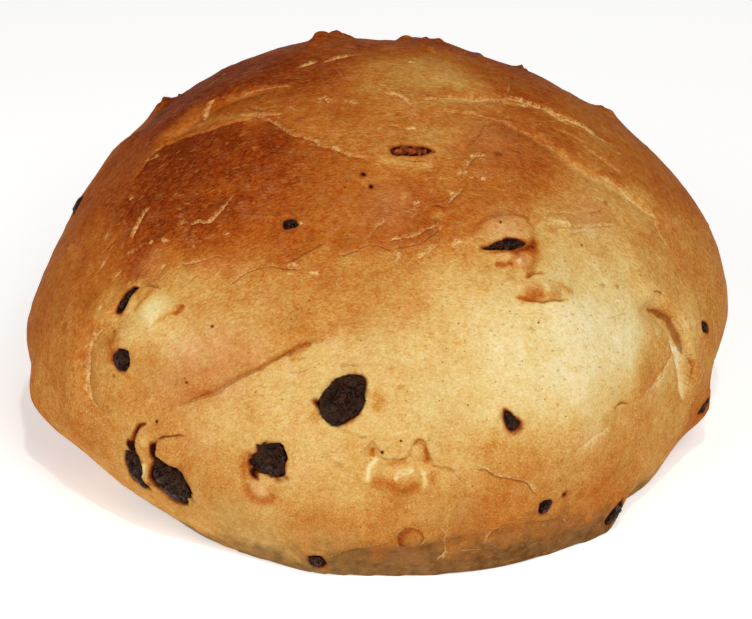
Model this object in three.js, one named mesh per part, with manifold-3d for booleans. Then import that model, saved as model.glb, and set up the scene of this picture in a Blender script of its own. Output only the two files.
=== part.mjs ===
// A julekake: a round festive loaf of sweet yeast dough with raisins, baked free on a flat sheet.
// Millimetres, +Z up. The front of the loaf faces -Y, and the origin is the middle of its flat base.
// A direction is [azimuth, elevation] in degrees, seen from the heart of the loaf: azimuth 0 is the
// front and grows towards +X, and elevation 0 is the height of the waist, where the loaf is widest.
import * as THREE from 'three';
import { mergeVertices } from 'three/addons/utils/BufferGeometryUtils.js';
import Module from 'manifold-3d';

// Body of the loaf
const waistHeight = 29;
const crownRise = 80;
const crownFullness = 1.9; // 2 gives an ellipse, and less a more pointed crown
const heartOffset = [-1.2, -1.3]; // where the heart stands over the base, along X and Y
const waistRadii = [96, 97, 96, 102, 99.5, 97, 98, 100.5, 96.5, 98.5, 102.5, 96]; // every 30 degrees
const footRadii = [90, 92.5, 88.5, 86.5, 88, 89, 90, 90, 88, 84, 79, 86]; // where the crust meets the sheet
const meanRadius = 95; // turns an angle between two directions into a length on the crust
const crustDetail = 15; // steps along an edge of the starting icosahedron, less one
const refineReaches = [6, 1.8]; // within each of these of a fold or a small swelling, faces are quartered
const refineSwellsUnder = 5; // half width of a swelling that counts as small

// Swellings and hollows of the dough: direction, height and half width
const swells = [
  { at: [95, 14], high: 1.3, wide: 17 }, // right shoulder
  { at: [82.5, -3.5], high: -3.6, wide: 6.5 }, // neck between the right shoulder and the bulge under it
  { at: [74.5, -9.5], high: 2.6, wide: 4.5 }, // bulge low on the right
  { at: [52.5, -17], high: -2.4, wide: 5.5 }, // notch in the right foot
  { at: [42, -17], high: 2.2, wide: 7 }, // foot pushed out by a raisin
  { at: [-10, -17], high: 1.2, wide: 8 }, // foot in front
  { at: [-58, -8], high: -1.5, wide: 9 }, // hollow above the left foot
  { at: [-69, -3.5], high: 2.4, wide: 7 }, // jowl on the left
  { at: [-74.5, -1], high: -1.5, wide: 4 }, // notch between the jowl and the cheek
  { at: [-80, 4], high: 1.7, wide: 9 }, // left cheek
  { at: [-94, 15], high: -1.3, wide: 12 }, // flat above the left cheek
  { at: [-104, 26], high: -0.9, wide: 7 },
  { at: [-117, 37], high: 1.7, wide: 3.5 }, // end of the torn band on the left
  { at: [-163, 56], high: 1.7, wide: 4 }, // raisin under the crust at the top
  { at: [174, 58], high: -1.3, wide: 9 }, // flat behind the top
  { at: [161, 58], high: 1.4, wide: 6 }, // crumbly patch at the top
  { at: [121, 41], high: -0.9, wide: 9 }, // flat on the right of the top
  { at: [139, 51], high: -1, wide: 7 },
  { at: [113.5, 35.5], high: 1.2, wide: 4 }, // raised crumb on the right
  { at: [-44, 22.5], high: 1.8, wide: 7 }, // pale bump beside the left slit
  { at: [32, 42.5], high: 1.5, wide: 7 }, // dome over a raisin
  { at: [36, 29.5], high: 1.4, wide: 6 }, // lens over a raisin
  { at: [36, 14], high: 1.6, wide: 17 }, // crown of the pale front lobe
  { at: [44, 6.5], high: -0.8, wide: 5 }, // dimple under the lobe
  { at: [4.5, 6.5], high: -1.5, wide: 4.5 }, // crags in the middle of the front
  { at: [10, 4.5], high: -1.2, wide: 4 },
  { at: [-1, 7], high: -1.2, wide: 3.5 },
  { at: [5.8, -8.6], high: -1, wide: 3.5 }, // blister near the foot
  { at: [-112, -5], high: 2, wide: 14 }, // unseen side and back, as uneven as the front
  { at: [-140, 12], high: -1.6, wide: 13 },
  { at: [170, 8], high: 1.8, wide: 15 },
  { at: [150, 30], high: -1.4, wide: 12 },
  { at: [128, -8], high: 1.6, wide: 10 },
];

// Folds of the skin. Walking the path on the crust, the raised lip is on the left: it rises by lift
// within the distance crest, and along the path runs a groove. Both die away over taper at the ends.
const folds = [
  { // the browned upper skin laps over the pale front
    path: [[-38.5, 9], [-28.5, 14], [-21, 19], [-15.5, 23.3], [-6, 28], [11, 31.7]],
    lift: 1.9, crest: 5, groove: 1.1, width: 2.4, taper: 16,
  },
  { // the left flap curls round the dough beside it
    path: [[-48, 4.5], [-51.8, 7], [-54.1, 11.5], [-53.6, 15], [-50.4, 19], [-49.5, 24]],
    lift: 1.6, crest: 4, groove: 1.4, width: 2.8, taper: 10,
  },
  { // the pale lobe tucks in under the right ridge
    path: [[54, 19.5], [60, 17.8], [63, 13], [63.2, 8.5], [63.6, 3.5], [62, -1]],
    lift: 1.4, crest: 5, groove: 3.2, width: 2.8, taper: 8,
  },
  { // long tear across the right of the top
    path: [[47, 74.6], [77, 65.3], [85, 57], [84, 51], [86, 43]],
    lift: 0.9, crest: 5, groove: 0.9, width: 2.4, taper: 14,
  },
  { // second tear on the right
    path: [[60, 63.7], [66.5, 55], [66, 46], [72, 37], [73.5, 30], [73, 23]],
    lift: 0.9, crest: 5, groove: 0.9, width: 2.4, taper: 14,
  },
  { // torn band at the top left
    path: [[-76, 43], [-83, 52], [-88, 62], [-80, 70]],
    lift: 1.1, crest: 6, groove: 1, width: 3, taper: 12,
  },
  { // skin over the band that lay on the sheet
    path: [[-14, -14.5], [-3, -11], [4, -12], [12, -9.5], [20, -9], [29, -9.5]],
    lift: 0.9, crest: 4, groove: 1, width: 2.4, taper: 12,
  },
  { // tear over the unseen left side
    path: [[-98, 43], [-105, 36], [-109, 29], [-115, 23], [-116, 14], [-123, 7], [-126, -3]],
    lift: 1, crest: 5, groove: 1, width: 2.6, taper: 16,
  },
  { // fold low on the unseen back
    path: [[119, 18], [130, 14], [140, 7], [152, 5], [163, 1], [174, 4], [-177, 3]],
    lift: 1.5, crest: 5, groove: 1.2, width: 2.6, taper: 18,
  },
];

// Raisins: direction, length, width and thickness, turn of the length from level, and how deep
// the middle of the raisin lies under the crust
const raisinGap = 0.35;
const raisinLargeFrom = 16; // a raisin at least this long is made of more faces
const raisins = [
  { at: [-5.7, 16.1], size: [16, 12.2, 10], turn: 52, sunk: 1.5 }, // the large one, standing proud
  { at: [-17.6, 4.8], size: [14.5, 13, 8.5], turn: -20, sunk: 2.8 },
  { at: [-35.2, -4.1], size: [16, 12, 8], turn: -52, sunk: 2.4 },
  { at: [-41.8, -3.2], size: [15.5, 7, 6], turn: -78, sunk: 1.9 },
  { at: [-46.5, 14.4], size: [7.5, 6.5, 5], turn: 60, sunk: 1.2 },
  { at: [-50.2, 23.2], size: [9.5, 3.4, 5], turn: 76, sunk: 1.6 },
  { at: [30, 39.3], size: [15, 3.4, 6], turn: -8, sunk: 2.2 },
  { at: [14.6, 62.6], size: [15, 5, 5], turn: -9, sunk: 1.8 },
  { at: [-22.4, 45.1], size: [5, 4, 4], turn: 10, sunk: 1.2 },
  { at: [22.1, 11], size: [8.5, 4.6, 4.5], turn: -72, sunk: 1.5 },
  { at: [28.1, -5.8], size: [5.5, 5, 4.5], turn: 30, sunk: 1.4 },
  { at: [44.6, -14], size: [10, 5.5, 5], turn: 25, sunk: 1.2 },
  { at: [71.9, 8.5], size: [9, 3.2, 4.5], turn: -50, sunk: 1.6 },
  { at: [73, -7], size: [7, 3.2, 4], turn: 18, sunk: 1.4 },
  { at: [-90.5, 23.5], size: [8.5, 6, 5], turn: 70, sunk: 1.2 },
  { at: [-10, -14.5], size: [6, 4.8, 4.5], turn: -8, sunk: 1.3 },
  { at: [104, -2], size: [14, 11, 8], turn: 35, sunk: 2 }, // the rest lie on the unseen sides and back
  { at: [118, 24], size: [10, 6, 5.5], turn: -15, sunk: 1.6 },
  { at: [133, 6], size: [12, 10, 7], turn: 70, sunk: 2.2 },
  { at: [146, 30], size: [8, 5, 5], turn: 20, sunk: 1.5 },
  { at: [158, -8], size: [11, 7, 6], turn: -35, sunk: 1.6 },
  { at: [176, 22], size: [13, 11, 8], turn: 10, sunk: 2 },
  { at: [-158, 40], size: [11, 5, 5], turn: -25, sunk: 1.7 },
  { at: [-150, 2], size: [14, 9, 7], turn: 48, sunk: 2 },
  { at: [-132, 20], size: [8, 7, 5], turn: 80, sunk: 1.4 },
  { at: [-118, -8], size: [12, 8, 6.5], turn: -12, sunk: 1.8 },
  { at: [-104, 8], size: [7, 4, 4.5], turn: 30, sunk: 1.4 },
  { at: [-128, 33], size: [9, 5, 5], turn: -40, sunk: 1.6 },
];

// Finishes
const crustColour = 0xc48a45;
const raisinColour = 0x2b1713;

const rad = THREE.MathUtils.degToRad;

function direction([azimuth, elevation]) {
  const level = Math.cos(rad(elevation));
  return new THREE.Vector3(
    level * Math.sin(rad(azimuth)),
    -level * Math.cos(rad(azimuth)),
    Math.sin(rad(elevation)),
  );
}

// A smooth ring through radii that are evenly spaced round the loaf, read at an azimuth in degrees
function ringRadius(radii, azimuth) {
  const count = radii.length;
  const place = THREE.MathUtils.euclideanModulo((azimuth * count) / 360, count);
  const first = Math.floor(place);
  const t = place - first;
  const [a, b, c, d] = [-1, 0, 1, 2].map((step) => radii[(first + step + count) % count]);
  return 0.5 * (2 * b + (c - a) * t + (2 * a - 5 * b + 4 * c - d) * t ** 2
    + (3 * b - a - 3 * c + d) * t ** 3);
}

// Distance from the heart to the smooth body: a dome over the waist, and a rounding-in under it
function bodyRadius(dir) {
  const azimuth = THREE.MathUtils.radToDeg(Math.atan2(dir.x, -dir.y));
  const level = Math.hypot(dir.x, dir.y);
  const waist = ringRadius(waistRadii, azimuth);
  const foot = ringRadius(footRadii, azimuth);
  const keel = waistHeight / Math.sqrt(1 - (foot / waist) ** 2);
  if (dir.z < 0) return 1 / Math.hypot(level / waist, dir.z / keel);
  const power = crownFullness;
  return ((level / waist) ** power + (dir.z / crownRise) ** power) ** (-1 / power);
}

// A fold's path as short steps between directions, with the length walked so far
function walk(path) {
  const ends = path.map(direction);
  const steps = [];
  let walked = 0;
  for (let i = 1; i < ends.length; i += 1) {
    const line = new THREE.Line3(ends[i - 1], ends[i]);
    steps.push({ line, along: line.delta(new THREE.Vector3()), start: walked });
    walked += line.distance() * meanRadius;
  }
  return { steps, length: walked };
}

const foldWalks = folds.map((fold) => walk(fold.path));
const swellDirections = swells.map((swell) => direction(swell.at));

// The point of a walked path nearest to a direction: how far off, how far along and on which side
function nearestOn({ steps }, dir) {
  const foot = new THREE.Vector3();
  let nearest = { gap: Infinity };
  for (const step of steps) {
    step.line.closestPointToPoint(dir, true, foot);
    const gap = foot.distanceTo(dir) * meanRadius;
    if (gap < nearest.gap) {
      const walked = step.start + foot.distanceTo(step.line.start) * meanRadius;
      const left = new THREE.Vector3().crossVectors(dir, step.along);
      nearest = { gap, walked, side: Math.sign(left.dot(foot.subVectors(dir, foot))) };
    }
  }
  return nearest;
}

function foldHeight(fold, foldWalk, dir) {
  const { gap, walked, side } = nearestOn(foldWalk, dir);
  const fade = THREE.MathUtils.smoothstep(Math.min(walked, foldWalk.length - walked), 0, fold.taper);
  const groove = -fold.groove * Math.exp(-((gap / fold.width) ** 2));
  const ratio = gap / fold.crest;
  const lip = side > 0 ? fold.lift * ratio * Math.exp(1 - ratio) : 0;
  return fade * (lip + groove);
}

function loafRadius(dir) {
  let radius = bodyRadius(dir);
  swells.forEach((swell, i) => {
    const gap = swellDirections[i].distanceTo(dir) * meanRadius;
    radius += swell.high * Math.exp(-0.5 * (gap / swell.wide) ** 2);
  });
  folds.forEach((fold, i) => {
    radius += foldHeight(fold, foldWalks[i], dir);
  });
  return radius;
}

const heart = new THREE.Vector3(heartOffset[0], heartOffset[1], waistHeight);

function crustPoint(at) {
  const dir = direction(at);
  return dir.clone().multiplyScalar(loafRadius(dir)).add(heart);
}

// Solids and their geometry
const wasm = await Module();
wasm.setup();

function closedMesh(geometry) {
  geometry.deleteAttribute('normal');
  geometry.deleteAttribute('uv');
  return mergeVertices(geometry);
}

function solidOf(geometry) {
  const vertProperties = Float32Array.from(geometry.attributes.position.array);
  const triVerts = Uint32Array.from(geometry.index.array);
  return new wasm.Manifold(new wasm.Mesh({ numProp: 3, vertProperties, triVerts }));
}

function geometryOf(solid) {
  const mesh = solid.getMesh();
  const geometry = new THREE.BufferGeometry();
  geometry.setAttribute('position', new THREE.BufferAttribute(mesh.vertProperties, 3));
  geometry.setIndex(new THREE.BufferAttribute(mesh.triVerts, 1));
  geometry.computeVertexNormals();
  return geometry;
}

// A raisin: a lumpy egg with a few shrivelled furrows, lying along its own X, Y and Z
function raisinGeometry(size, number, grow) {
  const detail = size[0] >= raisinLargeFrom ? 2 : 1;
  const geometry = closedMesh(new THREE.IcosahedronGeometry(1, detail));
  const spots = geometry.attributes.position;
  const spot = new THREE.Vector3();
  for (let i = 0; i < spots.count; i += 1) {
    spot.fromBufferAttribute(spots, i);
    const furrow = 0.07 * Math.sin(5 * spot.y + 2 * spot.x + 1.7 * number);
    const lump = 0.06 * Math.sin(3 * spot.x - 2 * spot.z + 2.3 * number);
    const half = size.map((length) => (length / 2) * (1 + furrow + lump) + grow);
    spots.setXYZ(i, spot.x * half[0], spot.y * half[1], spot.z * half[2]);
  }
  geometry.computeVertexNormals();
  return geometry;
}

// Where a raisin lies: its length along the crust, turned from level, and its thickness outwards
function raisinPlace({ at: [azimuth, elevation], turn, sunk }) {
  const nudge = 1;
  const across = crustPoint([azimuth + nudge, elevation]).sub(crustPoint([azimuth - nudge, elevation]));
  const upward = crustPoint([azimuth, elevation + nudge]).sub(crustPoint([azimuth, elevation - nudge]));
  const outward = new THREE.Vector3().crossVectors(across, upward).normalize();
  const lengthwise = across.normalize().applyAxisAngle(outward, rad(turn));
  const sideways = new THREE.Vector3().crossVectors(outward, lengthwise);
  const place = new THREE.Matrix4().makeBasis(lengthwise, sideways, outward);
  place.setPosition(crustPoint([azimuth, elevation]).addScaledVector(outward, -sunk));
  return place;
}

function nearDetail(dir, reach) {
  const small = (swell, i) => swell.wide < refineSwellsUnder
    && swellDirections[i].distanceTo(dir) * meanRadius < swell.wide + reach;
  return foldWalks.some((foldWalk) => nearestOn(foldWalk, dir).gap < reach) || swells.some(small);
}

// Halves the edges of the faces near folds and small swellings, and cuts their neighbours to fit
function refine(geometry, reach) {
  const spots = [...geometry.attributes.position.array];
  const corners = [...geometry.index.array];
  const spotAt = (i) => new THREE.Vector3().fromArray(spots, 3 * i);
  const edgeKey = (a, b) => (a < b ? `${a} ${b}` : `${b} ${a}`);
  const halves = new Map();
  for (let i = 0; i < corners.length; i += 3) {
    const face = corners.slice(i, i + 3);
    const middle = face.reduce((sum, corner) => sum.add(spotAt(corner)), new THREE.Vector3()).normalize();
    if (nearDetail(middle, reach)) {
      face.forEach((a, j) => halves.set(edgeKey(a, face[(j + 1) % 3]), null));
    }
  }
  for (const key of halves.keys()) {
    const [a, b] = key.split(' ').map(Number);
    halves.set(key, spots.length / 3);
    spots.push(...spotAt(a).add(spotAt(b)).normalize().toArray());
  }
  const faces = [];
  for (let i = 0; i < corners.length; i += 3) {
    let face = corners.slice(i, i + 3);
    let cuts = face.map((a, j) => halves.get(edgeKey(a, face[(j + 1) % 3])));
    const count = cuts.filter((cut) => cut !== undefined).length;
    while (count > 0 && (cuts[0] === undefined || (count === 2 && cuts[1] === undefined))) {
      face = [face[1], face[2], face[0]];
      cuts = [cuts[1], cuts[2], cuts[0]];
    }
    const [a, b, c] = face;
    const [ab, bc, ca] = cuts;
    if (count === 0) faces.push(a, b, c);
    if (count === 1) faces.push(ab, b, c, ab, c, a);
    if (count === 2) faces.push(ab, b, bc, ab, bc, c, ab, c, a);
    if (count === 3) faces.push(a, ab, ca, ab, b, bc, bc, c, ca, ab, bc, ca);
  }
  const finer = new THREE.BufferGeometry();
  finer.setAttribute('position', new THREE.Float32BufferAttribute(spots, 3));
  finer.setIndex(faces);
  return finer;
}

function crustSolid() {
  const start = closedMesh(new THREE.IcosahedronGeometry(1, crustDetail));
  const geometry = refineReaches.reduce(refine, start);
  const spots = geometry.attributes.position;
  const dir = new THREE.Vector3();
  for (let i = 0; i < spots.count; i += 1) {
    dir.fromBufferAttribute(spots, i).normalize();
    const spot = dir.clone().multiplyScalar(loafRadius(dir)).add(heart);
    spots.setXYZ(i, spot.x, spot.y, spot.z);
  }
  return solidOf(geometry);
}

function sheetSolid() {
  const width = 3 * meanRadius;
  const geometry = closedMesh(new THREE.BoxGeometry(width, width, width));
  geometry.translate(0, 0, -width / 2);
  return solidOf(geometry);
}

const group = new THREE.Group();
let loaf = crustSolid().subtract(sheetSolid());

raisins.forEach((raisin, i) => {
  const place = raisinPlace(raisin);
  const socket = raisinGeometry(raisin.size, i, raisinGap).applyMatrix4(place);
  loaf = loaf.subtract(solidOf(socket));
  const material = new THREE.MeshStandardMaterial({ color: raisinColour, roughness: 0.35, metalness: 0 });
  const mesh = new THREE.Mesh(raisinGeometry(raisin.size, i, 0), material);
  mesh.name = `raisin_${String(i + 1).padStart(2, '0')}`;
  place.decompose(mesh.position, mesh.quaternion, mesh.scale);
  group.add(mesh);
});

const crust = new THREE.MeshStandardMaterial({ color: crustColour, roughness: 0.6, metalness: 0 });
const loafMesh = new THREE.Mesh(geometryOf(loaf), crust);
loafMesh.name = 'loaf';
group.add(loafMesh);

export default group;
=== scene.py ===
import math
import random

import bpy
import numpy as np
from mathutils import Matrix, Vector, noise
from mathutils.bvhtree import BVHTree


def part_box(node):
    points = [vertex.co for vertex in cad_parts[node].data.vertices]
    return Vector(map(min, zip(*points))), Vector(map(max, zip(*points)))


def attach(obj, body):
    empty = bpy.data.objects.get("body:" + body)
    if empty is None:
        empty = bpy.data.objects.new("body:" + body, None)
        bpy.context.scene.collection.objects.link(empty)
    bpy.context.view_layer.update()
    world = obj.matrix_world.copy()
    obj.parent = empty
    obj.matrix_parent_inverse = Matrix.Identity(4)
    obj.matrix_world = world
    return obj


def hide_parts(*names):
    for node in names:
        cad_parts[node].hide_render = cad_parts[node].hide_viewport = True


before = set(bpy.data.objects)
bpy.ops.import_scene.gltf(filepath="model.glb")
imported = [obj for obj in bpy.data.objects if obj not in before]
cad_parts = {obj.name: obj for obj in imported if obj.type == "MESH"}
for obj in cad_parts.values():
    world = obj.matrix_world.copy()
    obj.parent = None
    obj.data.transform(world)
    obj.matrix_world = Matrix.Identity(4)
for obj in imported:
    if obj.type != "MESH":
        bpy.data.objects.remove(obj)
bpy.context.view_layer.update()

# Form of the loaf: one round of sweet yeast dough that was rolled up, proved and baked free on a flat
# sheet. It starts as a sphere of triangles, cut finer on the seen side, round folds and round raisins,
# and each point is moved out from the heart of the loaf. Sizes are millimetres. A direction is
# [azimuth, elevation] in degrees from the heart: azimuth 0 is the front and grows towards +X.
metres_per_mm = 0.001
waist_height = 29
crown_rise = 80
crown_fullness = 1.9
heart = np.array([-1.2, -1.3, waist_height])
waist_radii = [96, 97, 96, 102, 99.5, 97, 98, 100.5, 96.5, 98.5, 102.5, 96]
foot_radii = [90, 92.5, 88.5, 86.5, 88, 89, 90, 90, 88, 84, 79, 86]
mean_radius = 95
fold_reach = 45

# Swellings and hollows of the dough: direction, height and half width
swells = [
    ([95, 14], 1.3, 17), ([82.5, -3.5], -3.6, 6.5), ([74.5, -9.5], 2.6, 4.5), ([52.5, -17], -2.4, 5.5),
    ([42, -17], 2.2, 7), ([-10, -17], 1.2, 8), ([-58, -8], -1.5, 9), ([-69, -3.5], 2.4, 7),
    ([-74.5, -1], -1.5, 4), ([-80, 4], 1.7, 9), ([-94, 15], -1.3, 12), ([-104, 26], -0.9, 7),
    ([-117, 37], 1.7, 3.5), ([-163, 56], 1.7, 4), ([174, 58], -1.3, 9), ([161, 58], 1.4, 6),
    ([121, 41], -0.9, 9), ([139, 51], -1, 7), ([113.5, 35.5], 1.2, 4), ([-44, 22.5], 1.8, 7),
    ([32, 42.5], 1.5, 7), ([36, 29.5], 1.4, 6), ([36, 14], 1.6, 17), ([44, 6.5], -0.8, 5),
    ([4.5, 6.5], -1.5, 4.5), ([10, 4.5], -1.2, 4), ([-1, 7], -1.2, 3.5), ([5.8, -8.6], -1, 3.5),
    ([-112, -5], 2, 14), ([-140, 12], -1.6, 13), ([170, 8], 1.8, 15), ([150, 30], -1.4, 12),
    ([128, -8], 1.6, 10),
]

# Small pits, blisters and crumbs in the skin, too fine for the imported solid
dimples = [
    ([-0.6, 7.8], -0.9, 0.9), ([-0.8, 5], -0.5, 1.3), ([3.2, 4.8], -1, 2.2), ([6.7, 8.2], -0.9, 1.1),
    ([7.6, 5.4], -0.9, 1.6), ([9.4, 3], -0.6, 1.3), ([1, 3.4], -0.5, 1.6), ([3.2, 3.1], 0.6, 0.8),
    ([4.6, 4.1], 0.6, 0.8), ([5.8, 4.5], 0.4, 0.7), ([3.2, 1], 0.6, 1.8), ([5.7, -8.6], -0.5, 2),
    ([32.4, 35.6], 0.7, 1.2), ([32.2, 33.6], -0.4, 1), ([31.2, 30.2], 0.7, 2), ([34.6, 29.6], 0.9, 2.1),
    ([33.6, 27.4], -0.4, 1.8), ([55.1, 59.7], 0.7, 3.4), ([14.9, 64.8], -0.4, 2), ([-42.5, 23.6], 0.5, 3.2),
    ([-37.2, 25.6], -0.3, 1.4), ([-40.2, -4.6], 0.9, 1.3), ([-39.9, 2.4], 0.7, 1.3),
    ([-35.8, 1.8], 0.7, 1.6), ([-18.4, -1], 0.7, 1.2), ([-9.9, 15.4], -0.3, 1.4), ([44.2, 7], -0.5, 1.6),
    ([-147, 66], 0.9, 1.1), ([-158, 57.4], 1.3, 1.5), ([-166, 57.5], 1.1, 1.1), ([168, 57.5], 0.8, 1.2),
    ([155, 58.5], 0.9, 1.1), ([143, 53], 0.7, 1.3), ([110, 37], 0.9, 1), ([116, 36], 0.8, 1.1),
    ([-119, 38], 0.9, 1), ([112, 4], 0.4, 3), ([-134, 32], 0.4, 3),
]

# Crumbly knobs along the top outline, each a cluster of small crumbs
draw = random.Random(7)
knobs = [[-147, 66], [-158, 57.4], [-166, 57.5], [168, 57.5], [158.6, 66.7], [143.9, 71.1], [138.2, 68.6],
         [128, 49.7], [111.9, 36.6], [-119, 38]]
crumbs_to_a_knob = 6
for knob in knobs:
    for number in range(crumbs_to_a_knob):
        across = draw.gauss(0, 1.6) / math.cos(math.radians(knob[1]))
        place = [knob[0] + across, knob[1] + draw.gauss(0, 0.8)]
        dimples.append((place, draw.uniform(0.3, 0.9), draw.uniform(0.4, 0.9)))


def long_fold(path, lift, crest, groove, width, taper, **finish):
    """The raised lip is on the left of the walked path, and along the path runs a groove."""
    fold = {"path": path, "lift": lift, "crest": crest, "groove": groove, "width": width, "taper": taper}
    fold.update(pale=0, dark=0, browner=0, spread=10, line=0.16, mark=0.2)
    fold.update(finish)
    return fold


def tear(path, lift=0.35, groove=0.3, taper=5, **finish):
    """A fine tear or wrinkle of the skin, shaped like a long fold but narrow."""
    return long_fold(path, lift, 0.7, groove, 0.45, taper, **finish)


def arc(middle, radius, start, sweep, squash=1):
    """Directions along an arc: radius in mm, turns in degrees anticlockwise from the right."""
    steps = 12
    path = []
    for step in range(steps + 1):
        turn = math.radians(start + sweep * step / steps)
        across = math.degrees(radius / mean_radius * math.cos(turn)) / math.cos(math.radians(middle[1]))
        upward = math.degrees(radius / mean_radius * squash * math.sin(turn))
        path.append([middle[0] + across, middle[1] + upward])
    return path


# Long folds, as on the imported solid
folds = [
    long_fold([[-38.5, 9], [-28.5, 14], [-21, 19], [-15.5, 23.3], [-6, 28], [11, 31.7]],
              1.9, 5, 1.1, 2.4, 16),
    long_fold([[-48, 4.5], [-51.8, 7], [-54.1, 11.5], [-53.6, 15], [-50.4, 19], [-49.5, 24]],
              1.6, 4, 1.4, 2.8, 10),
    long_fold([[54, 19.5], [60, 17.8], [63, 13], [63.2, 8.5], [63.6, 3.5], [62, -1]],
              1.4, 5, 3.2, 2.8, 8),
    long_fold([[47, 74.6], [77, 65.3], [85, 57], [84, 51], [86, 43]], 0.9, 5, 0.6, 1.6, 14),
    long_fold([[60, 63.7], [66.5, 55], [66, 46], [72, 37], [73.5, 30], [73, 23]], 0.7, 5, 0.6, 2, 14),
    long_fold([[-76, 43], [-83, 52], [-88, 62], [-80, 70]], 1.1, 6, 1, 3, 12),
    long_fold([[-14, -14.5], [-3, -11], [4, -12], [12, -9.5], [20, -9], [29, -9.5]], 0.9, 4, 1, 2.4, 12),
    long_fold([[-98, 43], [-105, 36], [-109, 29], [-115, 23], [-116, 14], [-123, 7], [-126, -3]],
              1, 5, 1, 2.6, 16, pale=0.5),
    long_fold([[119, 18], [130, 14], [140, 7], [152, 5], [163, 1], [174, 4], [-177, 3]],
              1.5, 5, 1.2, 2.6, 18, dark=0.5, browner=0.1),
]


def chip(start, end, half):
    """A loose flake of pale, torn skin, widest in its middle."""
    return tear([start, end], lift=0.3, groove=0.1, taper=1, pale=1, line=half)


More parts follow.
